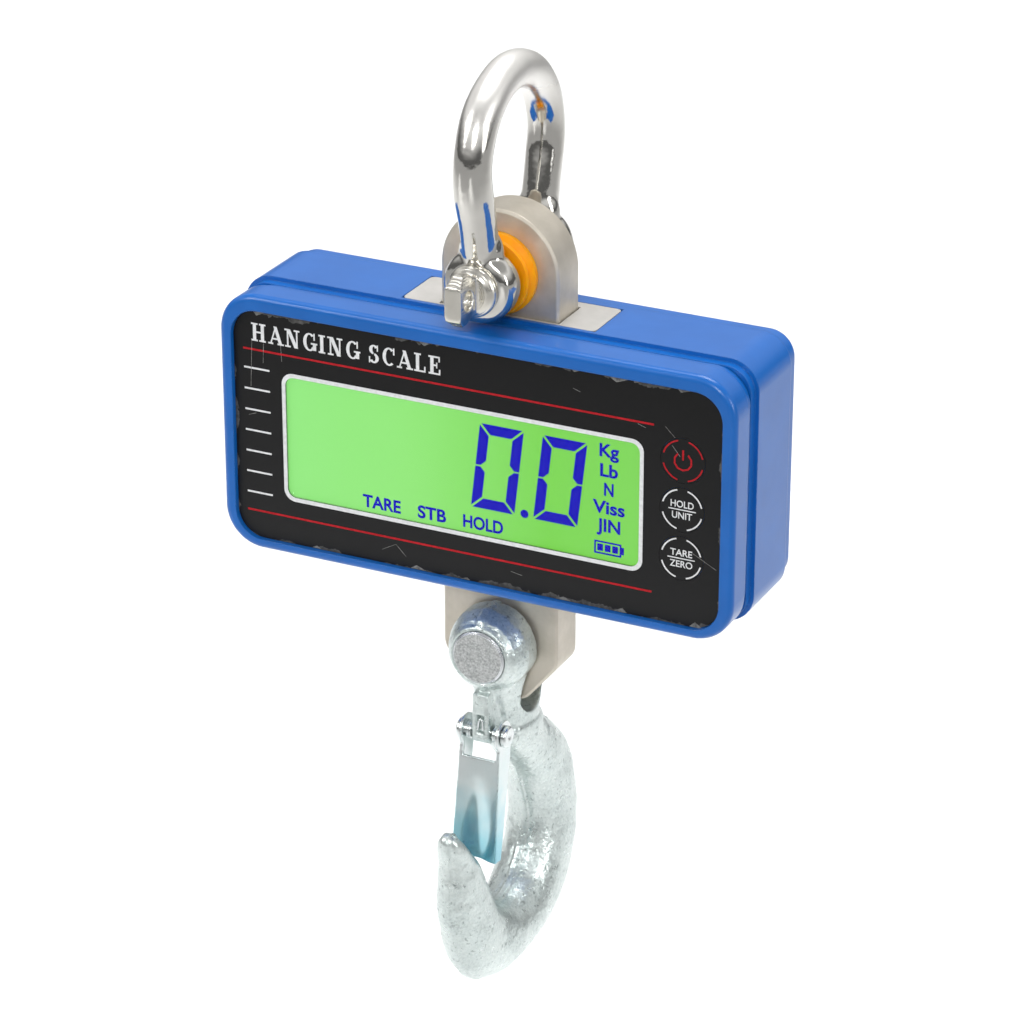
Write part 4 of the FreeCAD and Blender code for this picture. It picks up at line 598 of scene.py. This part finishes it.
class Print:
    """Closed films of ink collected in one mesh, sunk a little into a face that the reader sees."""

    def __init__(self, level):
        self.mesh = bmesh.new()
        self.level = level
        self.lift = 0

    def top(self):
        """The front of the next film: overlapping films lie on levels of their own."""
        self.lift = (self.lift + 1) % LEVELS
        return self.level - INK - self.lift * LAYER

    def shape(self, outline):
        """A filled outline of (x, z) points, anticlockwise as the reader sees it."""
        top = self.top()
        front = [self.mesh.verts.new((x, top, z)) for x, z in outline]
        back = [self.mesh.verts.new((x, self.level + SINK, z)) for x, z in outline]
        self.mesh.faces.new(front)
        self.mesh.faces.new(back[::-1])
        for i in range(len(outline)):
            j = (i + 1) % len(outline)
            self.mesh.faces.new((front[j], front[i], back[i], back[j]))

    def ring(self, outer, inner):
        """The band between two outlines of as many points."""
        count = len(outer)
        top = self.top()
        back = self.level + SINK
        rims = [[self.mesh.verts.new((x, y, z)) for x, z in line]
                for line, y in ((outer, top), (inner, top), (inner, back), (outer, back))]
        for i in range(count):
            j = (i + 1) % count
            for first, second in zip(rims, rims[1:] + rims[:1]):
                self.mesh.faces.new((first[i], first[j], second[j], second[i]))

    def band(self, x, z, radius, width, start, end):
        """Part of a circle's line."""
        outer = arc(x, z, radius + width / 2, start, end)
        self.shape(outer + arc(x, z, radius - width / 2, end, start))

    def words(self, text, x, z, height, width, weight):
        """Text with capitals of that height, fitted to that width, centred on x, thickened by weight."""
        font = bpy.data.curves.new("Words", "FONT")
        font.body = text
        font.extrude = 0.01
        font.offset = weight * CAPITAL / height
        mesh = taken(placed("Words", font))
        low = min(v.co.x for v in mesh.vertices)
        scale_x = width / (max(v.co.x for v in mesh.vertices) - low)
        top = self.top()
        for vertex in mesh.vertices:
            across, up, out = vertex.co
            vertex.co = (x - width / 2 + (across - low) * scale_x, top if out > 0 else self.level + SINK,
                         z - height / 2 + up * height / CAPITAL)
        self.mesh.from_mesh(mesh)

    def piece(self, name, body, material):
        bmesh.ops.remove_doubles(self.mesh, verts=self.mesh.verts, dist=1e-8)
        bmesh.ops.recalc_face_normals(self.mesh, faces=self.mesh.faces)
        piece_from(name, mesh_of(name, self.mesh), body, material, smooth=False)


# Slab-serif capitals, in units of the cap height: the letter's width, then its strokes.
# bar: left, right, foot, head. slash: middle of its foot, middle of its head, thickness.
# lean: left and right of its head, left and right of its foot.
# curve: centre in x and z, radius in x and z, start and end in degrees.
SERIF = 0.09
STEM = 0.19
LETTERS = {
    "A": (0.90, [("slash", 0.14, 0.47, 0.08), ("slash", 0.76, 0.43, 0.19), ("bar", 0.22, 0.68, 0.27, 0.36),
                 ("bar", 0.00, 0.30, 0, SERIF), ("bar", 0.56, 0.94, 0, SERIF)]),
    "C": (0.82, [("curve", 0.46, 0.50, 0.38, 0.50, 48, 312), ("bar", 0.70, 0.78, 0.62, 1.0)]),
    "E": (0.76, [("bar", 0.12, 0.12 + STEM, 0, 1), ("bar", 0.02, 0.68, 1 - SERIF, 1),
                 ("bar", 0.02, 0.70, 0, SERIF), ("bar", 0.12, 0.52, 0.46, 0.55),
                 ("bar", 0.60, 0.68, 0.70, 1), ("bar", 0.62, 0.70, 0, 0.30),
                 ("bar", 0.46, 0.53, 0.35, 0.66)]),
    "G": (0.88, [("curve", 0.46, 0.50, 0.38, 0.50, 48, 322), ("bar", 0.70, 0.78, 0.62, 1.0),
                 ("bar", 0.66, 0.66 + STEM, 0.06, 0.44), ("bar", 0.54, 0.92, 0.38, 0.38 + SERIF)]),
    "H": (0.94, [("bar", 0.12, 0.12 + STEM, 0, 1), ("bar", 0.60, 0.60 + STEM, 0, 1),
                 ("bar", 0.20, 0.70, 0.46, 0.55), ("bar", 0.02, 0.41, 0, SERIF),
                 ("bar", 0.50, 0.89, 0, SERIF),
                 ("bar", 0.02, 0.41, 1 - SERIF, 1), ("bar", 0.50, 0.89, 1 - SERIF, 1)]),
    "I": (0.45, [("bar", 0.12, 0.12 + STEM, 0, 1), ("bar", 0.02, 0.41, 0, SERIF),
                 ("bar", 0.02, 0.41, 1 - SERIF, 1)]),
    "L": (0.74, [("bar", 0.12, 0.12 + STEM, 0, 1), ("bar", 0.02, 0.41, 1 - SERIF, 1),
                 ("bar", 0.02, 0.68, 0, SERIF), ("bar", 0.60, 0.68, 0, 0.32)]),
    "N": (0.94, [("bar", 0.14, 0.23, 0, 1), ("bar", 0.69, 0.78, 0, 1), ("lean", 0.12, 0.34, 0.58, 0.80),
                 ("bar", 0.02, 0.36, 0, SERIF), ("bar", 0.56, 0.90, 1 - SERIF, 1),
                 ("bar", 0.00, 0.24, 1 - SERIF, 1)]),
    "S": (0.68, [("curve", 0.34, 0.74, 0.27, 0.26, 28, 262), ("curve", 0.34, 0.27, 0.29, 0.27, 82, -152),
                 ("bar", 0.52, 0.59, 0.66, 1.0), ("bar", 0.05, 0.12, 0, 0.34)]),
}


def letter(marks, name, left, low, wide, tall):
    """One capital from its left edge and its foot, scaled by wide in X and tall in Z."""
    for kind, *sizes in LETTERS[name][1]:
        if kind == "bar":
            outline = bar(*sizes)
        elif kind == "slash":
            foot, head, thick = sizes
            half = thick / 2
            outline = [(head + half, 1), (head - half, 1), (foot - half, 0), (foot + half, 0)]
        elif kind == "lean":
            head_left, head_right, foot_left, foot_right = sizes
            outline = [(head_right, 1), (head_left, 1), (foot_left, 0), (foot_right, 0)]
        else:
            x, z, radius_x, radius_z, start, end = sizes
            outer = [(x + px * radius_x, z + pz * radius_z) for px, pz in arc(0, 0, 1, start, end, 16)]
            slim_x, slim_z = radius_x - STEM, radius_z - SERIF
            inner = [(x + px * slim_x, z + pz * slim_z) for px, pz in arc(0, 0, 1, end, start, 16)]
            outline = outer + inner
        marks.shape([(left + px * wide, low + pz * tall) for px, pz in outline])


def heading(marks, text, left, right, low, tall):
    """Capitals of one height, spaced out from left to right."""
    gap, space = 0.10, 0.30
    widths = [LETTERS[name][0] if name in LETTERS else space for name in text]
    unit = (right - left) / (sum(widths) + gap * (len(text) - 1))
    at = left
    for name, width in zip(text, widths):
        if name in LETTERS:
            letter(marks, name, at, low, unit, tall)
        at += (width + gap) * unit


def panel_print():
    """Border of the window, red rules, tick marks and the heading."""
    white = Print(FACE_Y)
    left, right = FACE_X - 60.8 * MM, FACE_X + 52.5 * MM
    low, high = FACE_Z - 22.5 * MM, FACE_Z + 17.3 * MM
    inset = 0.08 * MM
    opening = rounded(WINDOW_LOW.x - inset, WINDOW_HIGH.x + inset, WINDOW_LOW.z - inset,
                      WINDOW_HIGH.z + inset, 2.7 * MM)
    white.ring(rounded(left, right, low, high, 3.6 * MM), opening)
    for row in range(7):
        z = FACE_Z + (16.9 - 6.47 * row) * MM
        white.shape(bar(FACE_X - 73.0 * MM, FACE_X - 64.7 * MM, z - 0.28 * MM, z + 0.28 * MM))
    heading(white, "HANGING SCALE", FACE_X - 70.4 * MM, FACE_X - 9.6 * MM, FACE_Z + 25.4 * MM, 5.5 * MM)
    white.piece("panel_white_print", "scale_body", WHITE_INK)
    red = Print(FACE_Y)
    for z in (22.7 * MM, -27.65 * MM):
        red.shape(bar(FACE_X - 73.1 * MM, FACE_X + 55.4 * MM, FACE_Z + z - 0.3 * MM, FACE_Z + z + 0.3 * MM))
    red.piece("panel_red_print", "scale_body", RED_INK)


# Chips along the film's edge, as (x, width, depth), and scratches as two ends (x, z), all in mm.
TOP_CHIPS = ((-70, 5, 1.6), (-17, 5, 1.5), (-12, 3, 0.9), (30, 4, 1.0), (41, 8, 1.7), (49, 4, 0.9),
             (62, 5, 1.3))
FOOT_CHIPS = ((-52, 3, 0.8), (-20, 5, 1.2), (-4, 3, 0.7), (26, 5, 1.0), (44, 4, 1.3), (67, 4, 1.6))
SCRATCHES = ((-70.2, 25.5, -70.9, 11.2), (-66.4, 25.0, -66.7, 19.0), (-60.9, 26.2, -60.6, 20.5),
             (58.8, 22.8, 61.7, 20.0), (60.9, 17.6, 63.4, 14.6), (67.4, -13.4, 74.8, -17.2),
             (-29.0, -31.8, -24.6, -29.4), (-24.6, -29.4, -21.4, -32.6), (50.6, 22.1, 53.0, 21.3),
             (-71.8, 2.2, -69.4, 3.1), (12.0, -30.4, 15.5, -31.0), (31.0, 29.0, 33.2, 28.3))


def panel_scuffs():
    """The film's worn places: chips along its edge and hairline scratches."""
    worn = Print(FACE_Y)
    top, foot = PANEL_HIGH.z - 0.15 * MM, PANEL_LOW.z + 0.15 * MM
    for index, (x, wide, deep) in enumerate(TOP_CHIPS):
        tip = x + wide * (0.3 + 0.4 * noise.noise(Vector((index * 3.7, 0, 0))))
        heel = ((x + wide * 0.7) * MM, top - deep * 0.45 * MM)
        worn.shape([((x + wide) * MM, top), heel, (tip * MM, top - deep * MM), (x * MM, top)])
    for index, (x, wide, deep) in enumerate(FOOT_CHIPS):
        tip = x + wide * (0.5 + 0.4 * noise.noise(Vector((index * 2.3, 5, 0))))
        worn.shape([(x * MM, foot), ((x + wide) * MM, foot), (tip * MM, foot + deep * MM)])
    hair = 0.07 * MM
    for x0, z0, x1, z1 in SCRATCHES:
        start = Vector((x0 * MM + FACE_X, z0 * MM + FACE_Z))
        end = Vector((x1 * MM + FACE_X, z1 * MM + FACE_Z))
        across = (end - start).orthogonal().normalized() * hair
        worn.shape([start + across, start - across, end - across, end + across])
    worn.piece("panel_scuffs", "scale_body", ink("ScuffedFilm", (0.10, 0.10, 0.095), (0.26, 0.26, 0.25)))


def key_print(node, lines, colour):
    """Four broken arcs round a key, with its legend or the power mark."""
    centre = middle(node)
    marks = Print(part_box(node)[0].y)
    for start in (15, 105, 195, 285):
        marks.band(centre.x, centre.z, 6.0 * MM, 0.42 * MM, start, start + 60)
    if lines:
        for text, z, width in lines:
            marks.words(text, centre.x, centre.z + z * MM, 1.95 * MM, width * MM, 0.03 * MM)
        marks.shape(bar(centre.x - 4.1 * MM, centre.x + 4.1 * MM, centre.z - 0.16 * MM, centre.z + 0.16 * MM))
    else:
        marks.band(centre.x, centre.z - 0.2 * MM, 2.6 * MM, 0.5 * MM, -235, 55)
        marks.shape(bar(centre.x - 0.27 * MM, centre.x + 0.27 * MM, centre.z + 0.2 * MM, centre.z + 3.2 * MM))
    marks.piece(node + "_print", node, colour)


def seven_segment_zero(marks, left, low, width, height, thick, gap, slant):
    """A zero: six bars with mitred ends, leaning to the right."""
    w, h, t, g = width, height, thick, gap
    half_up, half_down = h / 2 + g / 2, h / 2 - g / 2
    bars = [
        [(w - g, h), (g, h), (t + g, h - t), (w - t - g, h - t)],
        [(g, 0), (w - g, 0), (w - t - g, t), (t + g, t)],
        [(0, h - g), (0, half_up), (t / 2, half_up), (t, half_up + t / 2), (t, h - t - g)],
        [(0, half_down), (0, g), (t, t + g), (t, half_down - t / 2), (t / 2, half_down)],
        [(w, half_up), (w, h - g), (w - t, h - t - g), (w - t, half_up + t / 2), (w - t / 2, half_up)],
        [(w, g), (w, half_down), (w - t / 2, half_down), (w - t, half_down - t / 2), (w - t, t + g)],
    ]
    for outline in bars:
        marks.shape([(left + x + z * slant, low + z) for x, z in outline])


# The display's legends, as (text, height or place across, width), in mm from the face's middle.
UNITS = (("Kg", 11.8, 5.9), ("Lb", 5.8, 5.4), ("N", 0.1, 2.9), ("Viss", -5.4, 9.8), ("JIN", -10.9, 7.2))
STATES = (("TARE", -29.6, 12.2), ("STB", -13.5, 9.0), ("HOLD", 2.7, 12.6))
LEGEND_HEIGHT = 3.7 * MM
LEGEND_WEIGHT = 0.145 * MM  # some other weights make the font's g and B fold over on themselves


def display_print():
    """Digits, units, states and the battery mark of the liquid crystal."""
    marks = Print(LCD_Y)
    for left in (-1.1, 18.4):
        seven_segment_zero(marks, FACE_X + left * MM, FACE_Z - 13.2 * MM, 13.6 * MM, 26.0 * MM, 3.1 * MM,
                           0.45 * MM, 0.114)
    marks.shape(arc(FACE_X + 15.7 * MM, FACE_Z - 12.3 * MM, 1.25 * MM, 0, 345, 23))
    for text, z, width in UNITS:
        marks.words(text, FACE_X + 41.6 * MM, FACE_Z + z * MM, LEGEND_HEIGHT, width * MM, LEGEND_WEIGHT)
    for text, x, width in STATES:
        marks.words(text, FACE_X + x * MM, FACE_Z - 18.1 * MM, LEGEND_HEIGHT, width * MM, LEGEND_WEIGHT)
    left, right, low, high = FACE_X + 37.3 * MM, FACE_X + 45.6 * MM, FACE_Z - 19.8 * MM, FACE_Z - 15.8 * MM
    line = 0.5 * MM
    marks.ring(bar(left, right, low, high), bar(left + line, right - line, low + line, high - line))
    marks.shape(bar(right, right + 0.8 * MM, low + 0.9 * MM, high - 0.9 * MM))
    for cell in range(3):
        start = left + (0.95 + 2.3 * cell) * MM
        marks.shape(bar(start, start + 1.75 * MM, low + 0.95 * MM, high - 0.95 * MM))
    marks.piece("display_marks", "scale_body", SEGMENT_INK)


shackle()
hook()
latch()
panel_print()
panel_scuffs()
display_print()
key_print("power_key", None, RED_INK)
key_print("hold_unit_key", [("HOLD", 1.7, 6.9), ("UNIT", -1.7, 6.0)], WHITE_INK)
key_print("tare_zero_key", [("TARE", 1.7, 6.6), ("ZERO", -1.7, 6.8)], WHITE_INK)


# ---------------------------------------------------------------- room, light and camera
FLOOR_Z = cad_low.z - 0.16


def floor():
    mesh = bpy.data.meshes.new("Floor")
    reach = 9.0
    corners = [(x * reach, y * reach, FLOOR_Z) for x, y in ((-1, -1), (1, -1), (1, 1), (-1, 1))]
    mesh.from_pydata(corners, [], [(0, 1, 2, 3)])
    pale = Finish("PaleFloor", 0.9)
    pale.mixed_colour((0.90, 0.90, 0.90), (0.92, 0.92, 0.92), 3)
    mesh.materials.append(pale.material)
    placed("Floor", mesh)


def softbox(name, place, size, power, beam, target=Vector((0, 0, -0.11))):
    """A rectangular lamp of that size in metres, aimed at target, with a beam in degrees."""
    light = bpy.data.lights.new(name, "AREA")
    light.shape = "RECTANGLE"
    light.size, light.size_y = size
    light.energy = power
    light.spread = math.radians(beam)
    lamp = placed(name, light)
    lamp.location = place
    aim = target - lamp.location
    lamp.rotation_euler = aim.to_track_quat("-Z", "Y").to_euler()
    return lamp


def studio():
    """A dim room under a pale ceiling, with broad screens, and a big lamp that keeps the far floor white."""
    world = bpy.data.worlds.new("Studio")
    world.use_nodes = True
    tree = world.node_tree
    way = add(tree, "TexCoord").outputs["Generated"]
    height = add(tree, "SeparateXYZ", Vector=way).outputs["Z"]
    up = maths(tree, "MULTIPLY", maths(tree, "ADD", height, 1.0), 0.5)
    room = ramp(tree, up, [(0.0, (0.10,) * 3), (0.55, (0.12,) * 3), (0.66, (0.60,) * 3), (0.74, (0.85,) * 3),
                           (0.82, (0.44,) * 3), (1.0, (0.32,) * 3)])
    background = tree.nodes["Background"]
    tree.links.new(room, background.inputs["Color"])
    background.inputs["Strength"].default_value = 1.1
    bpy.context.scene.world = world
    softbox("FarFloorBox", (-0.45, 0.95, 1.25), (2.0, 2.0), 10, 60, Vector((-0.40, 0.85, -0.43)))
    softbox("TopBox", (0.05, 0.2, 0.75), (0.6, 0.5), 0.40, 50)
    softbox("KeyBox", (-0.9, -1.0, 0.7), (0.4, 0.9), 0.45, 34)
    softbox("SideBox", (1.3, -0.25, 0.25), (0.4, 1.0), 0.38, 34)
    softbox("FrontBox", (0.5, -1.5, 0.8), (0.6, 0.3), 0.30, 30)
    pool = Vector((-0.24, -0.52, FLOOR_Z))
    softbox("NearPool", pool + Vector((0, 0, 0.5)), (0.3, 0.3), 0.14, 70, pool)
    away = 1.15
    for azimuth in (-54, 14):
        turn = math.radians(azimuth)
        place = Vector((math.sin(turn) * away, -math.cos(turn) * away, FLOOR_Z + 0.45))
        strip = softbox("FloorStrip", place, (0.14, 1.2), 0.7, 60)
        strip.rotation_euler = (0, 0, turn)


def camera():
    lens = bpy.data.cameras.new("Camera")
    lens.sensor_width = 36
    lens.lens = 137.87
    eye = placed("Camera", lens)
    azimuth, elevation = math.radians(26.07), math.radians(24.27)
    back = Vector((math.sin(azimuth) * math.cos(elevation), -math.cos(azimuth) * math.cos(elevation),
                   math.sin(elevation)))
    eye.location = (0.45294, -0.92451, 0.33701)
    eye.rotation_mode = "QUATERNION"
    eye.rotation_quaternion = (-back).to_track_quat("-Z", "Y")
    bpy.context.scene.camera = eye


floor()
studio()
camera()
bpy.context.scene.view_settings.view_transform = "Standard"
